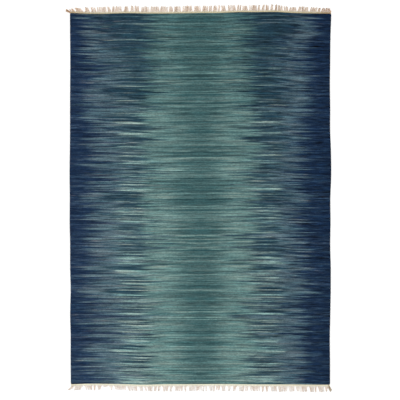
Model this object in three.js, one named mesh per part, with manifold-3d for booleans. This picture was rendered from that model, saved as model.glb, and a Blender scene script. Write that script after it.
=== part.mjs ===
// Kilim rug: one flat-woven wool piece with its two selvedges, and at each end a narrow band of
// undyed cotton from which the cut warp ends stand out as a short fringe.
// Millimetres. +X runs across the rug, +Y along it, +Z up. The floor is z = 0, and the origin is the
// middle of the cloth's underside.

import * as THREE from "three";
import { mergeVertices } from "three/addons/utils/BufferGeometryUtils.js";
import Module from "manifold-3d";

const wasm = await Module();
wasm.setup();

// Driving dimensions of the cloth.
const CLOTH_WIDTH = 1400;
const CLOTH_LENGTH = 2000;
const CLOTH_THICKNESS = 3;
const CORNER_RADIUS = 7;

// Driving dimensions of the end bands and the fringe.
const CLEARANCE = 0.4; // between the cloth's edge and the end band
const BAND_WIDTH = 6;
const BAND_HEIGHT = 2.8;
const BAND_INSET = 1.5; // how far the band stays inside the side edges
const STRAND_PITCH = 7.5; // spacing of the strands within a lock
const STRAND_ROOT_FILL = 0.8; // share of the pitch that a strand takes up at its root
const STRAND_TIP_FILL = 0.55; // and at its tip
const STRAND_ROOT_HEIGHT = 2.6;
const STRAND_TIP_HEIGHT = 1.8;
const LOCK_GATHER = 0.88; // how far a lock's tips draw together, as a share of their root spacing
const REACH_SCATTER = 2.2; // how unevenly the strands are cut
const STRAND_SCATTER = 0.5; // how far a tip strays across
const ROOT_DEPTH = 0.5; // share of the band's width at which a strand's root lies
const BAND_CROWN = 0.85; // width of the band's upper face, as a share of its lower face
const STRAND_CROWN = 0.5; // and of a strand's
const STRAND_STEPS = 2; // straight lengths that make up a strand
const MOST_IN_LOCK = 20; // more strands than any lock has
const SCATTER_SALT = { lean: 0, reach: 3 }; // keeps the two scatters apart

// How far each side edge strays outwards from a straight line, at even steps from the bottom end to
// the top end.
const SIDE_STRAY = {
  left: [-1.3, -0.3, -0.4, 2.3, -0.4, 2.3, 2.5, 5.0, 4.1, 5.5, 4.1, 3.0, 3.1, 2.5, 1.7, 2.5, 3.3],
  right: [0.2, -0.1, -1.1, 1.5, 3.7, 4.0, 1.0, 2.7, 1.6, 6.1, 5.3, 0.8, 1.0, -0.7, 1.0, 2.4, 6.4],
};

// The same for the two ends, at even steps from the left side to the right side.
const END_STRAY = {
  top: [0.8, -2.8, -2.6, -0.3, -1.7, -1.9, -0.6, 1.1, 1.6, 5.3, 5.4, 6.4, 1.0, -1.4, -2.5],
  bottom: [1.7, -1.0, -0.3, 1.9, 4.3, 2.1, 1.6, 1.2, 0.7, 1.7, 2.6, 3.0, 3.0, 4.2, 4.4],
};

// The rounded rim of a selvedge: how far in from the side edge, and how high.
const SELVEDGE_RIM = rows(["inward", "height"], [
  [0, 1.4],
  [1.2, 3.1],
  [3.5, 3.8],
  [5.8, 3.5],
  [8.5, CLOTH_THICKNESS],
]);

// The locks of the fringe, from left to right: where a lock's roots start and end across the rug,
// how far its tips lean to the right, and how far they reach past the cloth's edge.
const TOP_LOCKS = rows(["start", "end", "lean", "reach"], [
  [-692, -673, -12, 21],
  [-663, -628, -17, 25],
  [-618, -595, -7, 31],
  [-583, -558, -8, 32],
  [-554, -504, -4, 34],
  [-496, -479, -6, 34],
  [-475, -423, 0, 36],
  [-409, -387, 3, 35],
  [-375, -358, 0, 37],
  [-354, -330, 2, 37],
  [-320, -272, 0, 34],
  [-270, -220, 0, 35],
  [-218, -177, 1, 36],
  [-168, -147, -5, 35],
  [-141, -106, -2, 35],
  [-98, -44, 0, 37],
  [-34, 1, 0, 36],
  [9, 39, 0, 37],
  [44, 61, 0, 37],
  [67, 90, 0, 37],
  [94, 103, 0, 39],
  [114, 134, -4, 37],
  [146, 166, 0, 37],
  [171, 189, -3, 36],
  [194, 216, 2, 37],
  [224, 252, -1, 33],
  [261, 301, 0, 36],
  [305, 319, 3, 36],
  [326, 341, 4, 36],
  [349, 365, 0, 36],
  [374, 388, 2, 38],
  [398, 409, 0, 37],
  [414, 439, 0, 36],
  [446, 470, -1, 32],
  [473, 514, 2, 30],
  [520, 536, 4, 36],
  [540, 576, 4, 34],
  [585, 621, 5, 34],
  [625, 641, 3, 30],
  [645, 695, 6, 31],
]);
const BOTTOM_LOCKS = rows(["start", "end", "lean", "reach"], [
  [-695, -684, -17, 31],
  [-680, -637, -8, 29],
  [-622, -587, 4, 30],
  [-576, -567, 1, 30],
  [-556, -537, 0, 29],
  [-523, -510, -1, 14],
  [-487, -477, 1, 28],
  [-466, -402, 3, 28],
  [-398, -345, 9, 30],
  [-332, -314, 6, 31],
  [-302, -294, 3, 29],
  [-288, -259, 5, 32],
  [-250, -236, -1, 32],
  [-230, -217, -1, 32],
  [-203, -174, 0, 35],
  [-165, -151, 0, 35],
  [-139, -93, 1, 33],
  [-88, -77, 1, 36],
  [-64, -28, 0, 32],
  [-26, 8, -1, 32],
  [13, 21, 0, 34],
  [25, 35, 0, 34],
  [44, 78, 2, 34],
  [85, 106, 0, 31],
  [114, 133, 1, 34],
  [149, 163, -1, 33],
  [177, 193, -1, 33],
  [208, 238, 0, 34],
  [243, 257, 1, 32],
  [263, 321, 1, 32],
  [332, 343, 0, 37],
  [351, 367, 0, 37],
  [378, 411, 2, 34],
  [419, 471, 1, 35],
  [474, 508, 4, 35],
  [514, 540, 5, 35],
  [544, 575, 4, 37],
  [589, 614, 2, 36],
  [618, 626, 1, 38],
  [635, 666, 5, 36],
  [672, 683, 1, 32],
]);

// The thick ends of the selvedges' outer cords, which stand out at three corners: where a cord's root
// lies across the rug, how far its tip lies from there to the right and past the cloth's edge, and
// its width at the tip.
const TOP_CORDS = rows(["root", "lean", "reach", "width"], [
  [-697, -27, 14, 8],
  [699, 3, 17, 6],
]);
const BOTTOM_CORDS = rows(["root", "lean", "reach", "width"], [[692, 12, 38, 7]]);
const CORD_HEIGHT = 2.8;
const CORD_ROOT_FILL = 0.8; // a cord's width at its root, as a share of that at its tip

const WELD = 1e-4; // points closer than this are one

const WOOL_COLOUR = 0x4a6f7d;
const COTTON_COLOUR = 0xe2cfb6;

// Turns rows of numbers into objects with named columns.
function rows(columns, table) {
  return table.map((row) => Object.fromEntries(columns.map((name, i) => [name, row[i]])));
}

// A smooth curve through evenly spaced values, read at a share from 0 to 1 of its whole length.
function along(values, share) {
  const at = THREE.MathUtils.clamp(share, 0, 1) * (values.length - 1);
  const i = Math.min(Math.floor(at), values.length - 2);
  const t = at - i;
  const value = (k) => values[THREE.MathUtils.clamp(k, 0, values.length - 1)];
  const slope = (k) => (value(k + 1) - value(k - 1)) / 2;
  const blend = t * t * (3 - 2 * t);
  const bend = slope(i) * t * (1 - t) * (1 - t) - slope(i + 1) * t * t * (1 - t);
  return value(i) * (1 - blend) + value(i + 1) * blend + bend;
}

// A repeatable scatter between -1 and 1 for strand number i.
function scatter(i, salt) {
  const wild = Math.sin(i * 12.9898 + salt * 78.233) * 43758.5453;
  return 2 * (wild - Math.floor(wild)) - 1;
}

// How far a rounded corner draws the end in at this distance from the side edge.
function cornerDrop(inward) {
  const left = Math.max(CORNER_RADIUS - inward, 0);
  return CORNER_RADIUS - Math.sqrt(CORNER_RADIUS ** 2 - left ** 2);
}

// Where a point of the straight-sided rectangle lies on the real, uneven cloth.
function onCloth(across, up) {
  const u = across / CLOTH_WIDTH + 0.5;
  const v = up / CLOTH_LENGTH + 0.5;
  const drop = cornerDrop(CLOTH_WIDTH / 2 - Math.abs(across));
  const side = along(SIDE_STRAY.right, v) * u - along(SIDE_STRAY.left, v) * (1 - u);
  const top = (along(END_STRAY.top, u) - drop) * v;
  const bottom = (along(END_STRAY.bottom, u) - drop) * (1 - v);
  return new THREE.Vector2(across + side, up + top - bottom);
}

// Even steps from one value to another, both included.
function steps(from, to, count) {
  return Array.from({ length: count + 1 }, (_, i) => from + ((to - from) * i) / count);
}

// The stations across the cloth: the selvedge's rim at each side, and even steps between them.
function stationsAcross() {
  const half = CLOTH_WIDTH / 2;
  const left = SELVEDGE_RIM.map((row) => row.inward - half);
  const inner = steps(-half, half, END_STRAY.top.length - 1).slice(1, -1);
  const right = left.map((across) => -across).reverse();
  return [...left, ...inner, ...right];
}

// The stations along the cloth: one at each side section, and one where each corner's round ends.
function stationsAlong() {
  const half = CLOTH_LENGTH / 2;
  const inner = steps(-half, half, SIDE_STRAY.left.length - 1).slice(1, -1);
  return [-half, CORNER_RADIUS - half, ...inner, half - CORNER_RADIUS, half];
}

// The cloth's height at a distance from the nearer side edge.
function clothHeight(inward) {
  const row = SELVEDGE_RIM.find((rim) => rim.inward >= inward - WELD);
  return row ? row.height : CLOTH_THICKNESS;
}

// A closed solid from lists of corner points and of triangles.
function solidMesh(points, triangles) {
  const geometry = new THREE.BufferGeometry();
  geometry.setAttribute("position", new THREE.Float32BufferAttribute(points.flat(), 3));
  geometry.setIndex(triangles.flat());
  return geometry;
}

// The woven cloth: a top grid and an underside grid with the same outline, joined round the edge.
function clothGeometry() {
  const columns = stationsAcross();
  const lines = stationsAlong();
  const width = columns.length;
  const layer = width * lines.length;
  const top = [];
  const underside = [];
  for (const up of lines) {
    for (const across of columns) {
      const place = onCloth(across, up);
      top.push([place.x, place.y, clothHeight(CLOTH_WIDTH / 2 - Math.abs(across))]);
      underside.push([place.x, place.y, 0]);
    }
  }
  const triangles = [];
  for (let j = 0; j + 1 < lines.length; j++) {
    for (let i = 0; i + 1 < width; i++) {
      const a = j * width + i;
      const b = a + 1;
      const c = b + width;
      const d = a + width;
      triangles.push([a, b, c], [a, c, d]);
      triangles.push([layer + a, layer + c, layer + b], [layer + a, layer + d, layer + c]);
    }
  }
  const last = lines.length - 1;
  const rim = [
    ...columns.map((_, i) => i),
    ...lines.slice(1).map((_, j) => (j + 1) * width + width - 1),
    ...columns.slice(1).map((_, i) => last * width + width - 2 - i),
    ...lines.slice(1, -1).map((_, j) => (last - 1 - j) * width),
  ];
  rim.forEach((a, k) => {
    const b = rim[(k + 1) % rim.length];
    triangles.push([a, layer + a, layer + b], [a, layer + b, b]);
  });
  return solidMesh([...top, ...underside], triangles);
}

// A four-sided bar that lies flat on the floor along a run of sections, each with its middle, the
// direction across it, its width and its height. The upper face is narrower than the lower one.
function flatBar(sections, crown) {
  const points = sections.flatMap(({ middle, across, width, height }) => {
    const foot = across.clone().multiplyScalar(width / 2);
    const shoulder = foot.clone().multiplyScalar(crown);
    return [
      [middle.x - foot.x, middle.y - foot.y, 0],
      [middle.x + foot.x, middle.y + foot.y, 0],
      [middle.x + shoulder.x, middle.y + shoulder.y, height],
      [middle.x - shoulder.x, middle.y - shoulder.y, height],
    ];
  });
  const triangles = [];
  for (let s = 0; s + 1 < sections.length; s++) {
    for (let k = 0; k < 4; k++) {
      const a = 4 * s + k;
      const b = 4 * s + ((k + 1) % 4);
      triangles.push([a, b, b + 4], [a, b + 4, a + 4]);
    }
  }
  const end = 4 * (sections.length - 1);
  triangles.push([2, 1, 0], [3, 2, 0]);
  triangles.push([end, end + 1, end + 2], [end, end + 2, end + 3]);
  return solidMesh(points, triangles);
}

// The place past the cloth's edge at one end: side is 1 for the top end and -1 for the bottom end.
function pastEdge(across, past, side) {
  const half = CLOTH_WIDTH / 2;
  const onEdge = THREE.MathUtils.clamp(across, BAND_INSET - half, half - BAND_INSET);
  const edge = onCloth(onEdge, (side * CLOTH_LENGTH) / 2);
  return new THREE.Vector2(edge.x + across - onEdge, edge.y + side * past);
}

// The end band, which follows the cloth's edge at a small clearance.
function bandGeometry(side) {
  const half = CLOTH_WIDTH / 2;
  const inner = stationsAcross().filter((across) => Math.abs(across) < half - BAND_INSET);
  const stations = [BAND_INSET - half, ...inner, half - BAND_INSET];
  const sections = stations.map((across) => ({
    middle: pastEdge(across, CLEARANCE + BAND_WIDTH / 2, side),
    across: new THREE.Vector2(0, 1),
    width: BAND_WIDTH,
    height: BAND_HEIGHT,
  }));
  return flatBar(sections, BAND_CROWN);
}

// One strand from its root in the band to its tip. It bends further over as it goes.
function strandGeometry({ root, lean, reach, rootWidth, tipWidth, tipHeight, side }) {
  const start = CLEARANCE + BAND_WIDTH * ROOT_DEPTH;
  const sections = steps(0, 1, STRAND_STEPS).map((share) => {
    const slope = (2 * share * lean) / (reach - start);
    return {
      middle: pastEdge(root, start + (reach - start) * share, side).add(
        new THREE.Vector2(lean * share * share, 0),
      ),
      across: new THREE.Vector2(-side, slope).normalize(),
      width: THREE.MathUtils.lerp(rootWidth, tipWidth, share),
      height: THREE.MathUtils.lerp(STRAND_ROOT_HEIGHT, tipHeight, share),
    };
  });
  return flatBar(sections, STRAND_CROWN);
}

// The strands of one lock. Their tips draw together and lean the same way.
function lockStrands({ start, end, lean, reach }, lockNumber, side) {
  const count = Math.max(1, Math.round((end - start) / STRAND_PITCH));
  const pitch = (end - start) / count;
  return Array.from({ length: count }, (_, i) => {
    const fromMiddle = (i + 0.5 - count / 2) * pitch;
    const number = MOST_IN_LOCK * lockNumber + i;
    const stray = STRAND_SCATTER * scatter(number, side + SCATTER_SALT.lean);
    return strandGeometry({
      root: (start + end) / 2 + fromMiddle,
      lean: lean + fromMiddle * (LOCK_GATHER - 1) + stray,
      reach: reach + REACH_SCATTER * scatter(number, side + SCATTER_SALT.reach),
      rootWidth: pitch * STRAND_ROOT_FILL,
      tipWidth: pitch * STRAND_TIP_FILL,
      tipHeight: STRAND_TIP_HEIGHT,
      side,
    });
  });
}

// The thick cord end at a corner.
function cordGeometry({ root, lean, reach, width }, side) {
  const rootWidth = CORD_ROOT_FILL * width;
  const tipHeight = CORD_HEIGHT;
  return strandGeometry({ root, lean, reach, rootWidth, tipWidth: width, tipHeight, side });
}

// A closed geometry as a solid that can be joined to others.
function joinable(geometry) {
  const merged = mergeVertices(geometry, WELD);
  return new wasm.Manifold(
    new wasm.Mesh({
      numProp: 3,
      vertProperties: merged.getAttribute("position").array,
      triVerts: new Uint32Array(merged.index.array),
    }),
  );
}

// The band of one end with all of its strands fused to it.
function fringeGeometry(locks, cords, side) {
  const pieces = [
    bandGeometry(side),
    ...locks.flatMap((lock, i) => lockStrands(lock, i, side)),
    ...cords.map((cord) => cordGeometry(cord, side)),
  ];
  const joined = wasm.Manifold.union(pieces.map(joinable)).getMesh();
  const geometry = new THREE.BufferGeometry();
  geometry.setAttribute("position", new THREE.BufferAttribute(joined.vertProperties, 3));
  geometry.setIndex(new THREE.BufferAttribute(joined.triVerts, 1));
  return geometry;
}

// A geometry as a named piece of the rug.
function namedMesh(name, geometry, color) {
  geometry.computeVertexNormals();
  const mesh = new THREE.Mesh(
    geometry,
    new THREE.MeshStandardMaterial({ color, roughness: 0.9, metalness: 0 }),
  );
  mesh.name = name;
  return mesh;
}

const rug = new THREE.Group();
rug.add(namedMesh("rug_body", clothGeometry(), WOOL_COLOUR));
rug.add(namedMesh("fringe_top", fringeGeometry(TOP_LOCKS, TOP_CORDS, 1), COTTON_COLOUR));
rug.add(namedMesh("fringe_bottom", fringeGeometry(BOTTOM_LOCKS, BOTTOM_CORDS, -1), COTTON_COLOUR));

export default rug;
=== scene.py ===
# %% [markdown]
# A kilim rug, laid flat
# This rug is one piece of flat-woven wool. Its coloured yarn is the weft, which runs from side to
# side and is beaten down until it hides the cotton warp. At each end the warp shows again: a few
# picks of undyed cotton hold the last coloured row, and the cut warp ends stand out past them as a
# fringe.
# The rug's solids set its size and its outline, and everything here is laid over them in the same
# frame. Blender works in metres, with +X across the rug, +Y along it and the floor at height zero.
# A weaver thinks in millimetres, so the sizes below are in millimetres too.

# %% Load the rug's solids
from types import SimpleNamespace

import bpy
import numpy as np
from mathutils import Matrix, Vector


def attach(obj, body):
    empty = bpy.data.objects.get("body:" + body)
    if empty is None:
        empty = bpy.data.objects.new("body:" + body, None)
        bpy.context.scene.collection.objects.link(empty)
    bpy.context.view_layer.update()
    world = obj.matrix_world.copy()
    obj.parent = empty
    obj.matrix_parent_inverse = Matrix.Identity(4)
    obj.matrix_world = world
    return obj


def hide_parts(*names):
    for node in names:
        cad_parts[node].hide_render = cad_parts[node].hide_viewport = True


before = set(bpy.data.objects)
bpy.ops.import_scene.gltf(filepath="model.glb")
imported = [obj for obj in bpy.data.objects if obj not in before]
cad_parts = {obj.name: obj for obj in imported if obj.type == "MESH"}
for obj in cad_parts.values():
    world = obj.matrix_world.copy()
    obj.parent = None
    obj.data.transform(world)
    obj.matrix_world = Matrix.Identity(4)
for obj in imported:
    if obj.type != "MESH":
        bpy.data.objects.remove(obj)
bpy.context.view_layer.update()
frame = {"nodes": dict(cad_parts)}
MM = 0.001
print("the solids are", ", ".join(frame["nodes"]))

# %% [markdown]
# The camera
# The rug is seen from straight above and from far away, so that its sides look parallel. An
# orthographic camera would do that too, but a long lens high over the rug keeps a natural picture
# when the camera is moved round to the side.

# %% Camera straight above the rug
LENS = 85
SENSOR = 36
VIEW_WIDTH = 2159  # how much floor the picture is wide
VIEW_CENTRE = (-1.6, -8.1)

camera = bpy.data.objects.new("camera", bpy.data.cameras.new("camera"))
camera.data.lens = LENS
camera.data.sensor_width = SENSOR
camera.location = (VIEW_CENTRE[0] * MM, VIEW_CENTRE[1] * MM, VIEW_WIDTH * MM * LENS / SENSOR)
bpy.context.collection.objects.link(camera)
bpy.context.scene.camera = camera
print("the camera stands", round(camera.location.z, 3), "metres over the floor")

# %% [markdown]
# Light and floor
# Yarn is matt, and its colour is judged best in even white light. A white sky gives most of it here.
# One soft lamp from the upper left adds the little bit of shade that makes a strand look round. The
# floor is nearly white and lies just under the rug.

# %% White sky, one soft lamp and a pale floor
SKY = 0.86
LAMP = 1.25
LAMP_DIRECTION = Vector((0.55, -0.75, -1.25))  # the way its light falls
LAMP_SOFTNESS = np.radians(24)
FLOOR_SIZE = 80000
FLOOR_DEPTH = 0.3  # how far the floor lies under the rug, so that the two don't coincide
FLOOR_PAINT = {"Base Color": (0.95, 0.95, 0.945, 1), "Roughness": 0.9, "Specular IOR Level": 0.0}


def new_material(name, finish):
    """A material with its node tree and its shader, which holds the finish on its own sockets."""
    material = bpy.data.materials.new(name)
    material.use_nodes = True
    shader = material.node_tree.nodes["Principled BSDF"]
    for socket, value in finish.items():
        shader.inputs[socket].default_value = value
    return material, material.node_tree, shader


scene = bpy.context.scene
scene.view_settings.view_transform = "Standard"
scene.world = bpy.data.worlds.new("white_sky")
scene.world.use_nodes = True
scene.world.node_tree.nodes["Background"].inputs["Color"].default_value = (1, 1, 1, 1)
scene.world.node_tree.nodes["Background"].inputs["Strength"].default_value = SKY

lamp = bpy.data.objects.new("soft_lamp", bpy.data.lights.new("soft_lamp", "SUN"))
lamp.data.energy = LAMP
lamp.data.angle = LAMP_SOFTNESS
lamp.rotation_mode = "QUATERNION"
lamp.rotation_quaternion = LAMP_DIRECTION.to_track_quat("-Z", "Y")
bpy.context.collection.objects.link(lamp)

bpy.ops.mesh.primitive_plane_add(size=FLOOR_SIZE * MM, location=(0, 0, -FLOOR_DEPTH * MM))
floor = bpy.context.object
floor.name = "floor"
floor.data.materials.append(new_material("floor_paint", FLOOR_PAINT)[0])
print("the floor is", round(floor.dimensions.x), "metres wide")

# %% [markdown]
# The outline
# A hand-woven rug is never a true rectangle. Its selvedges wander by a few millimetres as the weft
# is pulled tighter or looser, and its ends bow where the beating was uneven. Short tables say how
# far each edge strays, and a smooth curve runs through their values. A piece is first laid out on a
# true rectangle, and one function then moves it to its place on the uneven cloth, so that the cloth,
# the bands, the fringe and the dye pattern all stray together.

# %% Named sizes and the uneven outline
CLOTH_WIDTH = 1400
CLOTH_LENGTH = 2000
CLOTH_THICKNESS = 3
CORNER_RADIUS = 7

SIDE_STRAY = {  # outwards, at even steps from the bottom end to the top end
    "left": [-1.3, -0.3, -0.4, 2.3, -0.4, 2.3, 2.5, 5.0, 4.1, 5.5, 4.1, 3.0, 3.1, 2.5, 1.7, 2.5, 3.3],
    "right": [0.2, -0.1, -1.1, 1.5, 3.7, 4.0, 1.0, 2.7, 1.6, 6.1, 5.3, 0.8, 1.0, -0.7, 1.0, 2.4, 6.4],
}
END_STRAY = {  # outwards, at even steps from the left side to the right side
    "top": [0.8, -2.8, -2.6, -0.3, -1.7, -1.9, -0.6, 1.1, 1.6, 5.3, 5.4, 6.4, 1.0, -1.4, -2.5],
    "bottom": [1.7, -1.0, -0.3, 1.9, 4.3, 2.1, 1.6, 1.2, 0.7, 1.7, 2.6, 3.0, 3.0, 4.2, 4.4],
}


def along(values, share):
    """A smooth curve through evenly spaced values, read at a share from 0 to 1 of its length."""
    values = np.asarray(values, float)
    at = np.clip(share, 0, 1) * (len(values) - 1)
    i = np.minimum(np.floor(at).astype(int), len(values) - 2)
    t = at - i
    held = np.concatenate([values[:1], values, values[-1:]])
    slope = (held[2:] - held[:-2]) / 2
    blend = t * t * (3 - 2 * t)
    bend = slope[i] * t * (1 - t) ** 2 - slope[i + 1] * t * t * (1 - t)
    return values[i] * (1 - blend) + values[i + 1] * blend + bend


def corner_drop(inward):
    """How far a rounded corner draws the end in at this distance from the side edge."""
    left = np.maximum(CORNER_RADIUS - inward, 0)
    return CORNER_RADIUS - np.sqrt(CORNER_RADIUS**2 - left**2)


def on_cloth(across, up):
    """Where a point of the true rectangle lies on the uneven cloth."""
    u = across / CLOTH_WIDTH + 0.5
    v = up / CLOTH_LENGTH + 0.5
    drop = corner_drop(np.clip(CLOTH_WIDTH / 2 - np.abs(across), 0, None))
    side = along(SIDE_STRAY["right"], v) * u - along(SIDE_STRAY["left"], v) * (1 - u)
    top = (along(END_STRAY["top"], u) - drop) * v
    bottom = (along(END_STRAY["bottom"], u) - drop) * (1 - v)
    return across + side, up + top - bottom


corner = on_cloth(-CLOTH_WIDTH / 2, CLOTH_LENGTH / 2)
print("the top left corner lies at", [round(float(place), 1) for place in corner], "mm")

# %% [markdown]
# Chance that repeats
# No two yarns lie alike, but the rug has to come out the same each time it is made. So the scatter
# is a formula of a yarn's number and not a random generator. Another salt gives another scatter. A
# drift is the same scatter, smoothed between whole numbers, for what changes slowly over the cloth.

# %% Repeatable scatter and drift
WILD_STEPS = (12.9898, 78.233)  # uneven steps for a number and for a salt
WILD_SIZE = 43758.5453  # so large that the digits after the point look like chance
STRIDE = 57  # keeps the rows of whole numbers apart


def scatter(number, salt):
    """A repeatable scatter between -1 and 1."""
    wild = WILD_SIZE * np.sin(number * WILD_STEPS[0] + salt * WILD_STEPS[1])
    return 2 * (wild - np.floor(wild)) - 1


def smooth(share):
    """An even start and an even stop between 0 and 1."""
    share = np.clip(share, 0, 1)
    return share * share * (3 - 2 * share)


def drift(a, b, salt):
    """A scatter between -1 and 1 that changes smoothly with both a and b."""
    i, j = np.floor(a), np.floor(b)
    s, t = smooth(a - i), smooth(b - j)
    first = i + STRIDE * j
    near = scatter(first, salt) * (1 - s) + scatter(first + 1, salt) * s
    far = scatter(first + STRIDE, salt) * (1 - s) + scatter(first + STRIDE + 1, salt) * s
    return near * (1 - t) + far * t


print("three draws:", [round(float(scatter(number, 1)), 2) for number in range(3)])

# %% [markdown]
# The cloth
# The weft turns back round the outermost warps at each side, which makes the selvedge: two firm
# cords, a little thicker than the cloth. A plain box with a bevel would miss them, and sculpting
# them along two metres would be slow. Here one section right across the rug is drawn instead, with
# its top and its underside, and it is repeated every four millimetres along the rug.

# %% The section across the rug
SELVEDGE_TOP = [  # how far in from the side edge, and how high
    (0.0, 1.5),
    (0.3, 2.5),
    (1.2, 3.3),
    (2.6, 3.7),
    (3.9, 3.4),
    (4.7, 3.0),
    (5.6, 3.3),
    (6.8, 3.4),
    (8.2, 3.1),
    (10.0, 3.0),
]
UNDERSIDE = [1.4, 2.4, 3.2, 3.9, 4.7, 5.6, 6.8, 8.2, 10.0]  # points that lie flat
SELVEDGE_UNDER = [(0.35, 0.55), *((inward, 0.0) for inward in UNDERSIDE)]
FIELD_COLUMNS = 68


def section(selvedge):
    """One face of the section from left to right: distances from the middle, and heights."""
    half = CLOTH_WIDTH / 2
    inward, height = np.array(selvedge, float).T
    field = np.linspace(inward[-1] - half, half - inward[-1], FIELD_COLUMNS + 2)[1:-1]
    across = np.concatenate([inward - half, field, (half - inward)[::-1]])
    heights = np.concatenate([height, np.full(FIELD_COLUMNS, height[-1]), height[::-1]])
    return across, heights


top_across, top_height = section(SELVEDGE_TOP)
under_across, under_height = section(SELVEDGE_UNDER)
print("one section has", len(top_across) + len(under_across), "points")

# %% [markdown]
# The cloth's relief
# Wool that has been rolled up never lies quite flat, and a bundle of weft that was beaten less
# stands a little proud. Each section follows the outline, and small drifts lift the cloth off the
# floor by up to a millimetre, raise the bundles and nick the selvedge where a bundle turns. A
# displacement modifier could do it, but the selvedge's nicks have to go sideways.

# %% The cloth's points
ROW_STEP = 4
END_ROUND = [(0, 0.5), (0.6, 0.8), (1.8, 0.97)]  # distance from the end, share of the thickness
LIFT = 1.0  # the highest that the cloth rises off the floor
LIFT_SIZE = 210  # the length of a rise
LIFT_FADE = 90  # the cloth lies down again over this distance before an end
BUNDLE_HEIGHT = 0.16
BUNDLE_SIZE = (170, 9)  # of a bundle of weft, across and along the rug
BUNDLE_FADE = 8
NICK = 0.25  # how far a turn of the weft stands out at the selvedge
NICK_SIZE = 3.0  # how long a turn is, and how far in from the edge it is felt
CLOTH_SALTS = {"rise": 1, "bundle": 2, "nick": 5}


def cloth_rows():
    """Stations along the rug, and the share of its full thickness that each one has."""
    half = CLOTH_LENGTH / 2
    inner = np.arange(ROW_STEP - half, half, ROW_STEP)
    ends = [(half - gap, share) for gap, share in END_ROUND]
    stations = sorted([*((-up, share) for up, share in ends), *((up, 1.0) for up in inner), *ends])
    return np.array(stations).T


def cloth_points(across, height, up, share):
    """The points of one face, as rows from the bottom end to the top end."""
    across, up = np.meshgrid(across, up)
    side = np.sign(across)
    from_side = CLOTH_WIDTH / 2 - np.abs(across)
    from_end = CLOTH_LENGTH / 2 - np.abs(up)
    x, y = on_cloth(across, up)
    nick = NICK * drift(up / NICK_SIZE, side, CLOTH_SALTS["nick"])
    x = x + side * nick * smooth(1 - from_side / NICK_SIZE)
    rise = np.clip(drift(across / LIFT_SIZE, up / LIFT_SIZE, CLOTH_SALTS["rise"]), 0, 1)
    rise = LIFT * rise * smooth(from_end / LIFT_FADE)
    proud = drift(across / BUNDLE_SIZE[0], up / BUNDLE_SIZE[1], CLOTH_SALTS["bundle"])
    proud = BUNDLE_HEIGHT * proud * smooth(from_end / BUNDLE_FADE)
    middle = CLOTH_THICKNESS / 2
    z = middle + (height[None] - middle) * share[:, None]
    z = z + np.where(height[None] > middle, proud, 0) + rise
    return np.stack([x, y, z], -1), np.stack([across, up, 0 * up], -1)


up, share = cloth_rows()
top_points, top_place = cloth_points(top_across, top_height, up, share)
under_points, under_place = cloth_points(under_across, under_height, up, share)
# One loop round the section: over the top to the right, and back to the left along the underside.
loops = np.concatenate([top_points, under_points[:, ::-1]], axis=1) * MM
places = np.concatenate([top_place, under_place[:, ::-1]], axis=1) * MM
print(len(loops), "sections make", loops.shape[0] * loops.shape[1], "points")

# %% [markdown]
# A map for the cloth
# Anyone who bakes the rug's colours into a picture needs a flat map of its surface. An automatic
# unwrap would cut this long thin piece into scraps. The sections already give a good map: the top
# takes the left half, the underside takes the right half, and the length runs up the map.

# %% Faces and map of the cloth
TOP_SHARE = 0.48  # of the map's width
BAKE_MAP = "OFBake"
END_STRIP = 0.008  # width on the map of the thin faces that close the two ends


def cloth_mesh():
    """The loops joined by faces and closed at both ends, with their map."""
    count = len(top_across)
    rows, around = loops.shape[:2]
    halves = (np.linspace(0, TOP_SHARE, count), np.linspace(1 - TOP_SHARE, 1, count))
    edges_u = np.concatenate(halves)
    faces, corners = [], []
    for j in range(rows - 1):
        low, high = j / (rows - 1), (j + 1) / (rows - 1)
        for i in range(around):
            k = (i + 1) % around
            faces.append((j * around + i, j * around + k, (j + 1) * around + k, (j + 1) * around + i))
            left, right = edges_u[i], edges_u[k]
            if i == count - 1:  # the right rim lies in the gap between the two halves
                right = left + END_STRIP
            if k == 0:  # and the left rim goes in the same gap
                left, right = 1 - TOP_SHARE - END_STRIP, 1 - TOP_SHARE
            corners += [(left, low), (right, low), (right, high), (left, high)]
    for row, start in ((0, 0.5 - END_STRIP), (rows - 1, 0.5)):
        for i in range(count - 1):
            a, b = row * around + i, row * around + i + 1
            c, d = row * around + around - 2 - i, row * around + around - 1 - i
            low, high = i / (count - 1), (i + 1) / (count - 1)
            ring = [(a, (start, low)), (d, (start + END_STRIP, low)),
                    (c, (start + END_STRIP, high)), (b, (start, high))]
            if row:
                ring.reverse()
            faces.append(tuple(point for point, _ in ring))
            corners += [at for _, at in ring]
    mesh = bpy.data.meshes.new("kilim_cloth")
    mesh.from_pydata(loops.reshape(-1, 3).tolist(), [], faces)
    mesh.uv_layers.new(name=BAKE_MAP).data.foreach_set("uv", np.array(corners, np.float32).ravel())
    return mesh


cloth_data = cloth_mesh()
print("the cloth has", len(cloth_data.polygons), "faces")

# %% [markdown]
# From a mesh to a piece of the rug
# Every piece below is finished in the same way. It gets smooth shading, and at each of its points it
# keeps values that its material reads, such as its place on the true rectangle. Then it takes the
# place of the solid that it stands for, and it rides on the rug's one body.


# %% Finish a mesh, and show it
def finish_mesh(mesh, **attributes):
    """Smooth shading, and named values at the points for the materials to read."""
    for name, values in attributes.items():
        layer = mesh.attributes.new(name, "FLOAT_VECTOR", "POINT")
        layer.data.foreach_set("vector", np.asarray(values, np.float32).ravel())
    mesh.shade_smooth()
    mesh.validate()
    return mesh


def show(mesh, material, *nodes, slot):
    """Puts a finished mesh in the scene, in place of the solids that it stands for."""
    piece = bpy.data.objects.new(mesh.name, mesh)
    piece.data.materials.append(material)
    bpy.context.collection.objects.link(piece)
    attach(piece, "root")
    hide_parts(*nodes)
    mesh.calc_loop_triangles()
    heights = [round(corner[2] / MM, 2) for corner in piece.bound_box]
    triangles = len(mesh.loop_triangles)
    print(piece.name, "has", triangles, "triangles and lies", min(heights), "to", max(heights), "mm high")
    return piece


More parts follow.
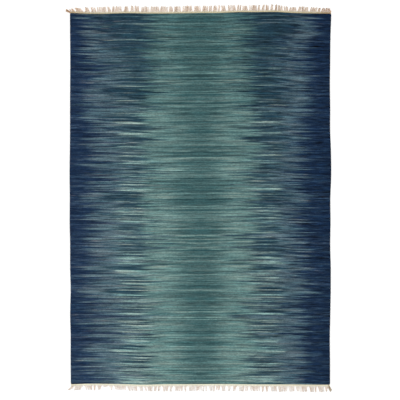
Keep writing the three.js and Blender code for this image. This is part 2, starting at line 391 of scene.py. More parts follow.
finish_mesh(cloth_data, cloth_place=places.reshape(-1, 3))
print(len(cloth_data.vertices), "points keep their", cloth_data.attributes["cloth_place"].name)

# %% [markdown]
# Small helpers for materials
# A material in Blender is a tree of nodes. Wiring it by hand takes several lines for each node, so
# a few helpers shorten that: one adds any node and links what it is given, and the others are for
# sums, mixes, ramps and noise. Dyes are written as red, green and blue from 0 to 255, as on a colour
# card, and turned into the linear values that the shader works in.


# %% Helpers for node trees
def feed(tree, socket, value):
    """Gives a socket either a value or another node's output to link from."""
    if isinstance(value, bpy.types.NodeSocket):
        tree.links.new(value, socket)
    else:
        socket.default_value = value


def add(tree, kind, inputs=(), **settings):
    """Adds a node with its settings and its inputs."""
    node = tree.nodes.new(kind)
    for name, value in settings.items():
        setattr(node, name, value)
    for name, value in dict(inputs).items():
        feed(tree, node.inputs[name], value)
    return node


def calc(tree, operation, *values, clamp=False):
    node = add(tree, "ShaderNodeMath", enumerate(values), operation=operation, use_clamp=clamp)
    return node.outputs[0]


def weighted(tree, start, *parts):
    """A start value, plus each part times its weight."""
    for value, weight in parts:
        start = calc(tree, "MULTIPLY_ADD", value, weight, start)
    return start


def split(tree, vector):
    return add(tree, "ShaderNodeSeparateXYZ", {"Vector": vector}).outputs


def joined(tree, x, y, z=0.0):
    return add(tree, "ShaderNodeCombineXYZ", {"X": x, "Y": y, "Z": z}).outputs[0]


def noise(tree, vector, detail=0.0):
    inputs = {"Vector": vector, "Scale": 1.0, "Detail": detail}
    return add(tree, "ShaderNodeTexNoise", inputs).outputs["Fac"]


def divided(tree, values, sizes):
    """Each value divided by its own size. Noise read there has lumps of those sizes."""
    return [calc(tree, "DIVIDE", value, size) for value, size in zip(values, sizes)]


floor_nodes = floor.active_material.node_tree.nodes
print("the floor's paint needs", len(floor_nodes), "nodes, and the wool will need hundreds")

# %% [markdown]
# Helpers for colours
# Two dyes are mixed by a factor, and a shade such as a groove's is multiplied onto a colour. A ramp
# reads a colour or a level from a short table. It is easier to change by hand than a formula, and
# the export knows it.

# %% Mixing and ramps
FACTOR, FIRST, SECOND, RESULT = 0, 6, 7, 2  # places of the colour sockets on a mix node


def mix(tree, factor, first, second, blend="MIX"):
    inputs = {FACTOR: factor, FIRST: first, SECOND: second}
    return add(tree, "ShaderNodeMix", inputs, data_type="RGBA", blend_type=blend).outputs[RESULT]


def times(tree, colour, *shades):
    """A colour with several shades laid over it."""
    for shade in shades:
        colour = mix(tree, 1.0, colour, shade, blend="MULTIPLY")
    return colour


def linear(colour):
    """A dye from a colour card, 0 to 255, as linear values, by the curve that screens use."""
    value = np.array(colour) / 255
    value = np.where(value <= 0.04045, value / 12.92, ((value + 0.055) / 1.055) ** 2.4)
    return (*value.tolist(), 1.0)


def ramp(tree, factor, stops):
    """A colour ramp from (position, colour) pairs in rising order."""
    node = add(tree, "ShaderNodeValToRGB", {"Fac": factor})
    elements = node.color_ramp.elements
    while len(elements) < len(stops):
        elements.new(1.0)
    for element, (position, colour) in zip(elements, stops):
        element.position = position
        element.color = colour
    return node.outputs["Color"]


def level(tree, factor, stops):
    """A ramp of plain levels, from (position, value) pairs."""
    return ramp(tree, factor, [(position, (value, value, value, 1.0)) for position, value in stops])


print("a middle grey of 128 is", round(linear((128, 128, 128))[0], 3), "in linear light")

# %% [markdown]
# Node groups
# An effect that several finishes share is built once, as a group with named sockets, and placed in
# each material with its own values. Copying its nodes would work too, but then each copy would have
# to be mended by itself.


# %% Making and placing a group
def new_group(name, inputs, outputs):
    """An empty shader node group with named sockets, and its inner input and output nodes."""
    tree = bpy.data.node_groups.new(name, "ShaderNodeTree")
    for way, sockets in (("INPUT", inputs), ("OUTPUT", outputs)):
        for socket, kind in sockets.items():
            tree.interface.new_socket(socket, in_out=way, socket_type="NodeSocket" + kind)
    print("group", name, "takes", ", ".join(inputs), "and gives", ", ".join(outputs))
    return tree, tree.nodes.new("NodeGroupInput").outputs, tree.nodes.new("NodeGroupOutput").inputs


def place_group(tree, group, **inputs):
    """Places a group with its own values, and gives its outputs."""
    node = add(tree, "ShaderNodeGroup", node_tree=group)
    for name, value in inputs.items():
        feed(tree, node.inputs[name.replace("_", " ")], value)
    return node.outputs


print("so far there are", len(bpy.data.node_groups), "node groups")

# %% [markdown]
# Shared effect: streaks
# Hand-dyed yarn changes colour every hand's breadth or so, and a few picks that share a dye lot lie
# next to each other. On the cloth that makes streaks: long across the rug, thin along it, and
# pointed at both ends. Stretched noise gives just that. The wool uses the group for its dye lots,
# its flecks and its uneven yarn, and the cotton for its own faint changes along a yarn.

# %% Node group for streaks
STREAK_DETAIL = 1.0  # how rough the edges of a streak are
NOISE_RANGE = (0.22, 0.78)  # the noise seldom leaves it, and it is spread to 0 and 1


def streak_group():
    inputs = {"Place": "Vector", "Length": "Float", "Thickness": "Float", "Seed": "Float"}
    tree, given, result = new_group("streaks", inputs, {"Streak": "Float"})
    x, y, _ = split(tree, given["Place"])
    stretched = divided(tree, (x, y), (given["Length"], given["Thickness"]))
    lumps = noise(tree, joined(tree, *stretched, given["Seed"]), STREAK_DETAIL)
    low, high = NOISE_RANGE
    spread = add(tree, "ShaderNodeMapRange", {"Value": lumps, "From Min": low, "From Max": high})
    tree.links.new(spread.outputs["Result"], result["Streak"])
    return tree


STREAKS = streak_group()

# %% [markdown]
# Shared effect: fibres
# Seen close, any spun yarn is a bundle of fine hairs. This group gives a fine grain that runs along
# the yarn. The wool uses it as a shade and as a height, and the cotton as a height alone.

# %% Node group for fibres
GRAIN_DETAIL = 2.0  # finer hairs between the coarse ones


def fibre_group():
    inputs = {"Place": "Vector", "Length": "Float", "Width": "Float"}
    tree, given, result = new_group("fibres", inputs, {"Grain": "Float"})
    sizes = (given["Length"], given["Width"], given["Width"])
    stretched = divided(tree, split(tree, given["Place"]), sizes)
    grain = noise(tree, joined(tree, *stretched), GRAIN_DETAIL)
    tree.links.new(grain, result["Grain"])
    return tree


FIBRES = fibre_group()

# %% [markdown]
# The weave
# In this weave each pick passes over every other warp, and the next pick takes the warps between.
# On one warp's rib only every second pick shows, so the face is made of columns of short dashes,
# and neighbouring columns are half a dash apart. Each face shows over 700,000 dashes, too many to
# model, so the group finds the dash that a point lies on. It gives the height of the rounded dash,
# the middle line of its pick, and a chance for the pick and for the dash. The dye is read at that
# line, because a pick keeps its colour over its whole thickness.

# %% Node group for the weave
RIB_ROUND = 2.0  # a half circle over the rib
DASH_ROUND = 3.0  # and a flatter bulge over the dash


def weave_group():
    inputs = {"Place": "Vector", "Rib": "Float", "Dash": "Float"}
    chances = {"Pick Chance": "Float", "Dash Chance": "Float"}
    outputs = {"Height": "Float", "Pick Place": "Vector", **chances}
    tree, given, result = new_group("weft_faced_weave", inputs, outputs)
    x, y, _ = split(tree, given["Place"])
    column = calc(tree, "DIVIDE", x, given["Rib"])
    rib = calc(tree, "FLOOR", column)
    half_step = calc(tree, "MULTIPLY", calc(tree, "PINGPONG", rib, 1.0), 0.5)
    row = calc(tree, "ADD", calc(tree, "DIVIDE", y, given["Dash"]), half_step)

    def bulge(value, power):
        off_middle = calc(tree, "SUBTRACT", calc(tree, "FRACT", value), 0.5)
        off_middle = calc(tree, "MULTIPLY", calc(tree, "ABSOLUTE", off_middle), 2.0)
        return calc(tree, "SUBTRACT", 1.0, calc(tree, "POWER", off_middle, power))

    height = calc(tree, "MULTIPLY", bulge(column, RIB_ROUND), bulge(row, DASH_ROUND))
    pick = calc(tree, "SUBTRACT", calc(tree, "ADD", calc(tree, "FLOOR", row), 0.5), half_step)
    pick_number = {"W": calc(tree, "MULTIPLY", pick, 2.0)}
    dash_number = {"Vector": joined(tree, rib, pick)}
    pick_chance = add(tree, "ShaderNodeTexWhiteNoise", pick_number, noise_dimensions="1D")
    dash_chance = add(tree, "ShaderNodeTexWhiteNoise", dash_number, noise_dimensions="2D")
    middle = joined(tree, x, calc(tree, "MULTIPLY", pick, given["Dash"]))
    tree.links.new(height, result["Height"])
    tree.links.new(middle, result["Pick Place"])
    tree.links.new(pick_chance.outputs["Value"], result["Pick Chance"])
    tree.links.new(dash_chance.outputs["Value"], result["Dash Chance"])
    return tree


WEAVE = weave_group()

# %% [markdown]
# The dyes
# The weft was dyed in the hank, so each pick changes colour along its length in the same order: navy
# at the selvedge, grey-blue, petrol, light sea green, and a deeper teal in the middle. It turns back
# at the selvedge, so the order mirrors about the middle of the rug. The dye lots differ, so for each
# zone the table names three dyes: that of the dark yarns, of most yarns and of the light yarns.

# %% Dyes and zones
DYES = {
    "midnight": (14, 33, 57),
    "navy": (27, 46, 71),
    "dusk": (58, 77, 96),
    "ink_blue": (31, 51, 68),
    "grey_blue": (82, 105, 113),
    "slate": (69, 90, 101),
    "haze": (102, 122, 129),
    "petrol": (31, 56, 69),
    "sea_blue": (62, 86, 94),
    "foam": (144, 171, 164),
    "pine": (54, 82, 85),
    "sea_green": (95, 125, 122),
    "mint": (121, 151, 145),
    "deep_teal": (42, 72, 75),
    "teal": (62, 92, 93),
    "soft_teal": (93, 123, 121),
    "cream": (178, 198, 184),
    "blush": (142, 138, 134),
}
ZONES = [  # distance from the middle, and the dyes of the dark, the usual and the light yarns
    (0, "deep_teal", "teal", "soft_teal"),
    (50, "deep_teal", "teal", "soft_teal"),
    (150, "pine", "sea_green", "mint"),
    (242, "pine", "sea_green", "mint"),
    (290, "petrol", "sea_blue", "foam"),
    (385, "petrol", "sea_blue", "foam"),
    (440, "ink_blue", "grey_blue", "haze"),
    (528, "ink_blue", "slate", "haze"),
    (592, "midnight", "navy", "dusk"),
    (760, "midnight", "navy", "dusk"),
]
ZONE_REACH = 760  # what the whole width of a ramp stands for


def read(tree, table, share, unit=1.0):
    """A value from a table of distances and values. A ramp holds no value below zero, so it holds
    each one raised by one."""
    stops = [(at / ZONE_REACH, 1 + value * unit) for at, value in table]
    return calc(tree, "SUBTRACT", level(tree, share, stops), 1.0)


print(len(DYES), "dyes in", len(ZONES), "zones")

# %% [markdown]
# Change from end to end
# The weaver used up one batch of yarn after another, so the rug isn't the same at both ends. It
# grows darker towards the top, mostly in the petrol zone, and there the grey-blue widens. One table
# holds those slow changes for places along the rug.

# %% Slow changes along the rug
LENGTHWISE = [  # up the rug: towards the light dye, brightness, and how far outwards the dyes move
    (-1000, 0.22, 0.98, 0),
    (-750, 0.11, 0.95, 0),
    (-500, 0.06, 0.95, 0),
    (-250, 0.03, 0.97, 0),
    (0, -0.08, 0.97, 0),
    (250, -0.10, 0.96, 0),
    (500, -0.24, 0.96, 4),
    (750, -0.42, 0.96, 12),
    (900, -0.46, 0.96, 26),
    (984, -0.46, 0.96, 30),
    (990, -0.90, 0.92, 30),
    (1000, -0.90, 0.92, 30),
]
LEAN, BRIGHTNESS, OUTWARDS = 1, 2, 3  # its columns
# How much of the leaning and of the moving each zone feels, by distance from the middle.
LEANING = [(0, 0.2), (150, 0.45), (260, 0.9), (320, 1.0), (410, 1.0), (480, 0.2), (640, 0.3), (760, 0.3)]
MOVING = [(0, 0.0), (150, 0.0), (250, -0.5), (380, -0.5), (470, 1.2), (560, 1.6), (640, 1.2), (760, 1.0)]


def along_rug(tree, spot, column, unit=1.0):
    """A value from the table of slow changes, which is also held raised by one."""
    stops = [(row[0] / CLOTH_LENGTH + 0.5, 1 + row[column] * unit) for row in LENGTHWISE]
    return calc(tree, "SUBTRACT", level(tree, spot.up_share, stops), 1.0)


print("the slow changes are given at", len(LENGTHWISE), "places")

# %% [markdown]
# Where a point of the cloth lies
# A photograph of the cloth could be laid over the mesh, but it would blur up close, and this rug is
# to be seen from any distance. So the wool is worked out at each point. First the weave group finds
# the pick, which strays a little from a straight line. After that only the distance from the middle
# counts, as if the rug were folded there, because the dyes mirror about it. No weaver gets both
# halves quite alike, so the streaks of the right half are given slightly other seeds, more so
# towards the edge.

# %% A spot on the cloth
RIB = 3.0  # from one warp to the next
DASH = 1.2  # the height of one visible dash of weft
WANDER = 0.7  # how far a pick strays from a straight line
WANDER_SIZE = (420, 260)
# How far the seeds of the right half are off, by distance from the middle.
UNLIKE = [(0, 0.0), (80, 0.12), (160, 0.15), (230, 0.18), (430, 0.26), (500, 0.48), (700, 0.6)]


def spot_on_cloth(tree):
    """What the dye at a point depends on, as node outputs."""
    place = add(tree, "ShaderNodeAttribute", attribute_name="cloth_place").outputs["Vector"]
    x, y, _ = split(tree, place)
    stretched = divided(tree, (x, y), (WANDER_SIZE[0] * MM, WANDER_SIZE[1] * MM))
    wander = noise(tree, joined(tree, *stretched))
    wander = calc(tree, "MULTIPLY_ADD", wander, 2 * WANDER * MM, -WANDER * MM)
    strayed = joined(tree, x, calc(tree, "ADD", y, wander))
    weave = place_group(tree, WEAVE, Place=strayed, Rib=RIB * MM, Dash=DASH * MM)
    x, y, _ = split(tree, weave["Pick Place"])
    on_right = calc(tree, "GREATER_THAN", x, 0.0)
    from_middle = calc(tree, "ABSOLUTE", x)
    distance = calc(tree, "DIVIDE", from_middle, ZONE_REACH * MM)
    return SimpleNamespace(
        place=place,
        weave=weave,
        y=y,
        on_right=on_right,
        from_middle=from_middle,
        distance=distance,
        unlike=calc(tree, "MULTIPLY", read(tree, UNLIKE, distance), on_right),
        up_share=calc(tree, "MULTIPLY_ADD", y, 1 / (CLOTH_LENGTH * MM), 0.5),
    )


print("a square metre shows about", round(1e6 / (RIB * DASH)), "dashes of weft")

# %% [markdown]
# Streaks and bundles of weft
# Plain streaks run into each other smoothly. Real picks come in bundles: a few that share a dye lot
# lie together, and the next few are of another. So a bundle is a whole number, found from the place
# along the rug with a little noise that makes some bundles thick and others thin, and the streaks
# are read at that number instead of the place.

# %% Streaks and bundles on the folded rug
BUNDLE = 4.6  # the usual thickness of a bundle
UNEVENNESS = 3.0  # how many bundles' thickness a border between two of them may stray
UNEVEN_PACE = 0.31  # and how quickly that changes from bundle to bundle
BUNDLE_LEAP = 7.37  # how far apart in the noise two bundles lie


def read_streaks(tree, place, length, thickness, seed):
    """Streaks between -0.5 and 0.5."""
    streaks = place_group(tree, STREAKS, Place=place, Length=length, Thickness=thickness, Seed=seed)
    return calc(tree, "SUBTRACT", streaks["Streak"], 0.5)


def long_streaks(tree, spot, length, thickness, seed):
    """Plain streaks, mirrored about the middle."""
    seed = calc(tree, "ADD", spot.unlike, seed)
    folded = joined(tree, spot.from_middle, spot.y)
    return read_streaks(tree, folded, length * MM, thickness * MM, seed)


def bundles(tree, spot, length, thickness, seed):
    """Streaks in bundles, mirrored about the middle."""
    row = calc(tree, "DIVIDE", spot.y, thickness * MM)
    uneven = noise(tree, joined(tree, 0.0, calc(tree, "MULTIPLY", row, UNEVEN_PACE), seed))
    row = calc(tree, "FLOOR", calc(tree, "MULTIPLY_ADD", uneven, UNEVENNESS, row))
    seed = calc(tree, "ADD", spot.unlike, seed)
    place = joined(tree, spot.from_middle, row)
    return read_streaks(tree, place, length * MM, 1 / BUNDLE_LEAP, seed)


print("about", round(CLOTH_LENGTH / BUNDLE), "bundles lie along the rug")

# %% [markdown]
# Shifting the zones
# If every pick changed dye at the same place, the rug would show plain stripes. Here each bundle is
# shifted to and fro, which frays the border between two dyes into long points, and a few spikes
# draw the darker dye far in towards the middle. A bundle whose petrol is light also draws the navy
# in. Single picks stray a little more. On the right half all zones lie closer to the middle.
# Each kind of streak is a row of its length, its thickness and a seed. A seed always ends in a half,
# because this noise is flat at whole numbers.

# %% The zone of a pick
TONE = (1500, BUNDLE, 4.5)
JAGS = (420, 1.7 * BUNDLE, 3.5)
SLOW_JAGS = (900, 70.0, 13.5)
LONG_SPIKES = (600, 1.4 * BUNDLE, 23.5)
THIN_SPIKES = (500, 0.8 * BUNDLE, 5.5)
JAG_SHARES = (0.7, 0.3)
SPIKE_SHARES = (0.5, 0.5)
SPIKE_START = 0.04  # only what passes this becomes a spike
ZONE_SHIFT = 90  # how far jags shift the zones
SPIKE_REACH = 640  # how far the longest spikes draw the darker dye on towards the middle
SPIKE_MEAN = 35  # taken off again, so that the zones stay in place on average
TONE_SHIFT = [(430, 0), (500, 150), (620, 120), (700, 60)]  # how far a light petrol draws the navy on
PICK_SHIFT = 14  # how far a single pick shifts them more
# How much closer to the middle they lie on the right half.
RIGHT_SHIFT = [(0, 0), (120, 12), (220, 15), (320, 2), (420, 2), (520, 34), (600, 42), (760, 42)]


def zone_at(tree, spot, tone):
    """The distance from the middle whose dyes show here, as a share of a ramp's width."""
    jags = (bundles(tree, spot, *JAGS), long_streaks(tree, spot, *SLOW_JAGS))
    jags = weighted(tree, 0.0, *zip(jags, JAG_SHARES))
    spikes = (bundles(tree, spot, *LONG_SPIKES), bundles(tree, spot, *THIN_SPIKES))
    spikes = weighted(tree, -SPIKE_START, *zip(spikes, SPIKE_SHARES))
    spikes = calc(tree, "MAXIMUM", spikes, 0.0)
    zone = weighted(
        tree,
        calc(tree, "SUBTRACT", spot.from_middle, (SPIKE_MEAN + PICK_SHIFT) * MM),
        (jags, 2 * ZONE_SHIFT * MM),
        (spikes, SPIKE_REACH * MM),
        (tone, read(tree, TONE_SHIFT, spot.distance, MM)),
        (spot.weave["Pick Chance"], 2 * PICK_SHIFT * MM),
        (read(tree, RIGHT_SHIFT, spot.distance, MM), spot.on_right),
        (along_rug(tree, spot, OUTWARDS, -MM), read(tree, MOVING, spot.distance)),
    )
    return calc(tree, "DIVIDE", zone, ZONE_REACH * MM)


print("a pick's zones move by up to", ZONE_SHIFT + PICK_SHIFT, "mm, and spikes reach further")

# %% [markdown]
# Choosing the dye
# More bundles choose between the dark, the usual and the light dye of a zone. Each zone has its own
# character: the teal middle is calm, the petrol is full of long light and dark streaks, and the navy
# has only short fine ones. So the table gives every layer of bundles a weight for each distance.
# A negative weight turns a layer round: a lot that is light in the petrol is dark in the next zone.

# %% The dye of a pick
LAYERS = [  # the tone comes first, and then lots, short ones, patches and fine ones
    (700, BUNDLE, 7.5),
    (200, BUNDLE, 27.5),
    (380, 2.2 * BUNDLE, 37.5),
    (50, 0.5 * BUNDLE, 17.5),
]
WEIGHTS = [  # distance from the middle, and the weight of the tone and of each layer
    (0, (-0.10, 0.95, 0.40, 0.40, 0.50)),
    (80, (-0.30, 0.90, 0.45, 0.40, 0.50)),
    (150, (-0.80, 0.80, 0.45, 0.40, 0.45)),
    (205, (-0.80, 0.65, 0.45, 0.40, 0.45)),
    (245, (0.30, 0.40, 0.50, 0.50, 0.50)),
    (285, (1.50, 0.00, 0.30, 0.60, 0.45)),
    (385, (1.50, 0.00, 0.30, 0.60, 0.45)),
    (425, (0.55, 0.00, 0.60, 0.50, 0.55)),
    (465, (-0.60, 0.00, 0.70, 0.50, 0.60)),
    (520, (-1.00, 0.00, 0.75, 0.50, 0.60)),
    (600, (-0.50, 0.00, 0.75, 0.40, 0.75)),
    (760, (-0.20, 0.00, 0.80, 0.40, 0.80)),
]
# How far the right half leans towards the light dye. Below zero it leans towards the dark one.
RIGHT_LEAN = [(0, 0.0), (230, 0.0), (290, -0.07), (430, -0.09), (500, 0.0), (760, 0.0)]


def dye_at(tree, spot, zone, tone):
    """The colour, and how far it has come from dark to usual and from usual to light."""
    layers = [tone, *(bundles(tree, spot, *size) for size in LAYERS)]
    parts = []
    for k, layer in enumerate(layers):
        parts.append((layer, read(tree, [(at, weights[k]) for at, weights in WEIGHTS], zone)))
    parts.append((along_rug(tree, spot, LEAN), read(tree, LEANING, zone)))
    parts.append((read(tree, RIGHT_LEAN, zone), spot.on_right))
    shade = weighted(tree, 0.5, *parts)
    to_usual = calc(tree, "MULTIPLY", shade, 2.0, clamp=True)
    to_light = calc(tree, "MULTIPLY_ADD", shade, 2.0, -1.0, clamp=True)
    dark, usual, light = (
        ramp(tree, zone, [(row[0] / ZONE_REACH, linear(DYES[row[column]])) for row in ZONES])
        for column in (1, 2, 3)
    )
    colour = mix(tree, to_light, mix(tree, to_usual, dark, usual), light)
    return colour, to_usual, to_light


print("a dye is chosen by", len(LAYERS) + 1, "layers of bundles")

# %% [markdown]
# Flecks and shade
# A hank never takes the dye evenly, so the yarn comes out lighter or darker for a few centimetres at
# a time. Such flecks show most in the dark dyes. The right half is darker than the left one, above
# all at its edge, where it is bluer too. All this changes a dye's shade, so it is multiplied onto it.

# %% Flecks, the darker half and the ends
FLECKS = (75, 4.4, 51.5)  # their length, thickness and seed
FLECK_DEPTH = [(0, 0.22), (240, 0.28), (400, 0.3), (520, 0.35), (600, 0.5), (760, 0.5)]
DEPTH_IN_DARK = 0.8  # how much deeper they are in the dark dye
DEPTH_ON_RIGHT = [(0, 0.0), (290, 0.0), (340, 0.3), (430, 0.3), (500, 0.1), (600, 0.6), (760, 1.1)]
RIGHT_DIM = [
    (100, (0.97, 0.97, 0.97)),
    (250, (0.95, 0.95, 0.95)),
    (340, (0.86, 0.87, 0.88)),
    (430, (0.86, 0.87, 0.89)),
    (480, (0.87, 0.88, 0.90)),
    (560, (0.80, 0.86, 0.89)),
    (700, (0.51, 0.62, 0.68)),
]


def shaded(tree, spot, zone, colour, to_usual):
    """The colour with its flecks, and with the shade of its half and its end of the rug."""
    depth = weighted(
        tree,
        read(tree, FLECK_DEPTH, zone),
        (calc(tree, "SUBTRACT", 1.0, to_usual), DEPTH_IN_DARK),
        (read(tree, DEPTH_ON_RIGHT, zone), spot.on_right),
    )
    colour = times(tree, colour, weighted(tree, 1.0, (bundles(tree, spot, *FLECKS), depth)))
    dim = ramp(tree, zone, [(at / ZONE_REACH, (*shade, 1.0)) for at, shade in RIGHT_DIM])
    colour = mix(tree, spot.on_right, colour, times(tree, colour, dim))
    return times(tree, colour, along_rug(tree, spot, BRIGHTNESS))


print("a fleck is about", FLECKS[0], "mm long")

# %% [markdown]
# Odd yarns
# Here and there a yarn of another lot has got into the hank: cream in the petrol, and a pinkish grey
# in the grey-blue. Only the lightest streaks become one, most of them among the light dyes. Then the
# whole cloth is tinted a little, some bundles warmer and some cooler.

# %% Cream and blush yarns, and warm and cool bundles
ODD_YARNS = [  # dye, where it shows, and its streaks
    ("cream", [(0, 0.0), (260, 0.0), (300, 1.0), (420, 1.0), (480, 0.25), (580, 0.0)],
     (230, 0.8 * BUNDLE, 41.5)),
    ("blush", [(0, 0.0), (300, 0.0), (400, 0.4), (480, 0.7), (590, 0.7), (640, 0.1)],
     (120, 0.8 * BUNDLE, 47.5)),
]
ODD_ONES = [(0.84, 0.0), (0.98, 0.8)]  # streak, and how much of an odd yarn it is
ODD_IN_DARK = 0.35  # as much of it stays among the darker dyes
TINTS = (140, BUNDLE, 31.5)
WARM = (1.21, 0.98, 0.96, 1.0)
COOL = (0.80, 1.03, 1.08, 1.0)


def with_odd_yarns(tree, spot, zone, colour, to_light):
    """The colour with a few yarns of other lots, and tinted."""
    for dye, where, streaks in ODD_YARNS:
        few = level(tree, calc(tree, "ADD", bundles(tree, spot, *streaks), 0.5), ODD_ONES)
        few = calc(tree, "MULTIPLY", few, calc(tree, "MAXIMUM", to_light, ODD_IN_DARK))
        few = calc(tree, "MULTIPLY", few, read(tree, where, zone))
        colour = mix(tree, few, colour, linear(DYES[dye]))
    warmth = calc(tree, "ADD", bundles(tree, spot, *TINTS), 0.5)
    return times(tree, colour, mix(tree, warmth, WARM, COOL))


print("odd yarns:", ", ".join(dye for dye, _, _ in ODD_YARNS))

# %% [markdown]
# The marks of the weave
# Close up, no two dashes of one pick are quite alike, and handspun yarn is thick here and thin
# there. Little light gets down between two dashes, so a painted shade makes the grooves darker than
# the crests. The same weave and the same fibres also give the height that the bump reads, so that
# light and shade agree.

# %% Dashes, painted groove shade and grain
DASH_SHADE = 0.16  # how much lighter or darker a single dash may be
SLUB_SHADE = 0.28  # and a short thick or thin stretch of a yarn
SLUB_SIZE = (9, 3.4)
SLUB_SEED = 61.5
# Painted shade: the colour is darker where a dash sinks into a groove, as little light reaches there.
PAINTED_GROOVE_SHADE = [(0.0, 0.62), (0.35, 1.02), (0.8, 1.21)]  # height of the dash, and the light that reaches it
GRAIN = [(0.3, 0.84), (0.5, 1.0), (0.7, 1.16)]  # grain of the fibres, and their shade
WOOL_HAIR = {"Length": 2.5 * MM, "Width": 0.15 * MM}
HAIR_HEIGHT = 0.25  # as a share of a dash's height


def woven(tree, spot, colour):
    """The colour with the weave's marks and its painted groove shade, and the height of its surface."""
    place, (length, thickness) = spot.weave["Pick Place"], SLUB_SIZE
    slubs = read_streaks(tree, place, length * MM, thickness * MM, SLUB_SEED)
    dashes = calc(tree, "SUBTRACT", spot.weave["Dash Chance"], 0.5)
    uneven = weighted(tree, 1.0, (slubs, 2 * SLUB_SHADE), (dashes, 2 * DASH_SHADE))
    hairs = place_group(tree, FIBRES, Place=spot.place, **WOOL_HAIR)["Grain"]
    # painted shade in the grooves between the dashes
    groove_shade = level(tree, spot.weave["Height"], PAINTED_GROOVE_SHADE)
    colour = times(tree, colour, uneven, groove_shade, level(tree, hairs, GRAIN))
    return colour, weighted(tree, spot.weave["Height"], (hairs, HAIR_HEIGHT))


print("a slub is about", SLUB_SIZE[0], "mm long")

# %% [markdown]
# The wool
# Now the steps above are put together in one material. Wool scatters light in all directions, so
# the surface is rough and has hardly any gloss, only a faint sheen from its standing hairs.

# %% The dyed wool
YARN_FINISH = {"Roughness": 0.95, "Specular IOR Level": 0.08, "Sheen Roughness": 0.5}
WOOL_SHEEN = 0.03
WOOL_BUMP = {"Distance": 0.45 * MM, "Strength": 0.8}


def lay_on(tree, shader, colour, height, bump):
    """Gives a shader its colour and its bump."""
    bump = add(tree, "ShaderNodeBump", {"Height": height, **bump})
    tree.links.new(colour, shader.inputs["Base Color"])
    tree.links.new(bump.outputs["Normal"], shader.inputs["Normal"])


def dyed_wool():
    """The weft of the whole cloth."""
    finish = {**YARN_FINISH, "Sheen Weight": WOOL_SHEEN}
    material, tree, shader = new_material("dyed_wool", finish)
    spot = spot_on_cloth(tree)
    tone = bundles(tree, spot, *TONE)
    zone = zone_at(tree, spot, tone)
    colour, to_usual, to_light = dye_at(tree, spot, zone, tone)
    colour = shaded(tree, spot, zone, colour, to_usual)
    colour = with_odd_yarns(tree, spot, zone, colour, to_light)
    colour, height = woven(tree, spot, colour)
    lay_on(tree, shader, colour, height, WOOL_BUMP)
    return material


wool = dyed_wool()
cloth = show(cloth_data, wool, "rug_body", slot="dyed_wool")
print("the wool takes", len(wool.node_tree.nodes), "nodes")

# %% [markdown]
# Yarns as tubes
# The fringe and the end bands are single cotton yarns, far too many to place by hand. Curve objects
# would be slow in such numbers, so the yarns of a piece are one mesh, worked out as arrays. A tube
# is a row of rings along a path. The rings of a plied yarn have a lobe for each ply and turn as they
# go, which makes the twist. Each tube gets a small rectangle of its own on the bake map.

# %% Rings round a path, and their map
CAP_SHARE = 0.02  # of a tube's rectangle on the map, for the cap at each of its ends
CAP_RADIUS = 0.4  # of a cap's circle on the map, as a share of the room that it has


def rings(paths, radius, turn, out):
    """The rings of points round many paths."""
    ahead = np.gradient(paths, axis=1)
    ahead /= np.linalg.norm(ahead, axis=-1, keepdims=True)
    beside = np.cross(ahead, (0.0, 0.0, 1.0))
    beside /= np.linalg.norm(beside, axis=-1, keepdims=True)
    over = np.cross(beside, ahead)
    angle = 2 * np.pi * np.arange(len(out)) / len(out) + turn[..., None]
    sideways = (radius[..., None] * out * np.cos(angle))[..., None] * beside[:, :, None]
    upwards = (radius[..., None] * out * np.sin(angle))[..., None] * over[:, :, None]
    return paths[:, :, None] + sideways + upwards


def map_corners(count, steps, sides, left, right, rows):
    """Where the walls and the caps of many tubes lie on the map, in rows between left and right."""
    columns = int(np.ceil(count / rows))
    wide, high = (right - left) / columns, 1 / rows
    u = left + wide * (np.arange(count) % columns)[:, None, None]
    v = high * (np.arange(count) // columns)[:, None, None]
    around = wide * np.arange(sides + 1)[None, None] / sides
    length = CAP_SHARE + (1 - 2 * CAP_SHARE) * np.arange(steps) / (steps - 1)
    grid = np.stack(np.broadcast_arrays(u + around, v + high * length[None, :, None]), -1)
    walls = np.stack([grid[:, :-1, :-1], grid[:, 1:, :-1], grid[:, 1:, 1:], grid[:, :-1, 1:]], -2)
    circle = 2 * np.pi * np.arange(sides) / sides
    cap_u = u + wide * (0.5 + CAP_RADIUS * np.cos(circle))
    cap_place = np.array([CAP_SHARE / 2, 1 - CAP_SHARE / 2])[None, :, None]
    cap_v = v + high * (cap_place + CAP_RADIUS * CAP_SHARE * np.sin(circle))
    caps = np.stack(np.broadcast_arrays(cap_u, cap_v), -1)
    return [walls.reshape(-1, 2), caps.reshape(-1, 2)]


print("a cap takes", CAP_SHARE, "of its yarn's place on the map")

# %% [markdown]
# Tubes with facts
# A tube's material has to know where on the yarn a point lies. So each point keeps its place along,
# across and through the yarn, and three facts: the yarn's chance, its whereabouts (one near the
# band, and minus one at a dusty tip) and how far it stands out on the ridge of a ply.

# %% A mesh of many tubes
NEXT_YARN = 0.37  # made-up metres between two yarns, so that none repeats another's fibres
SHADE_SALT = 61


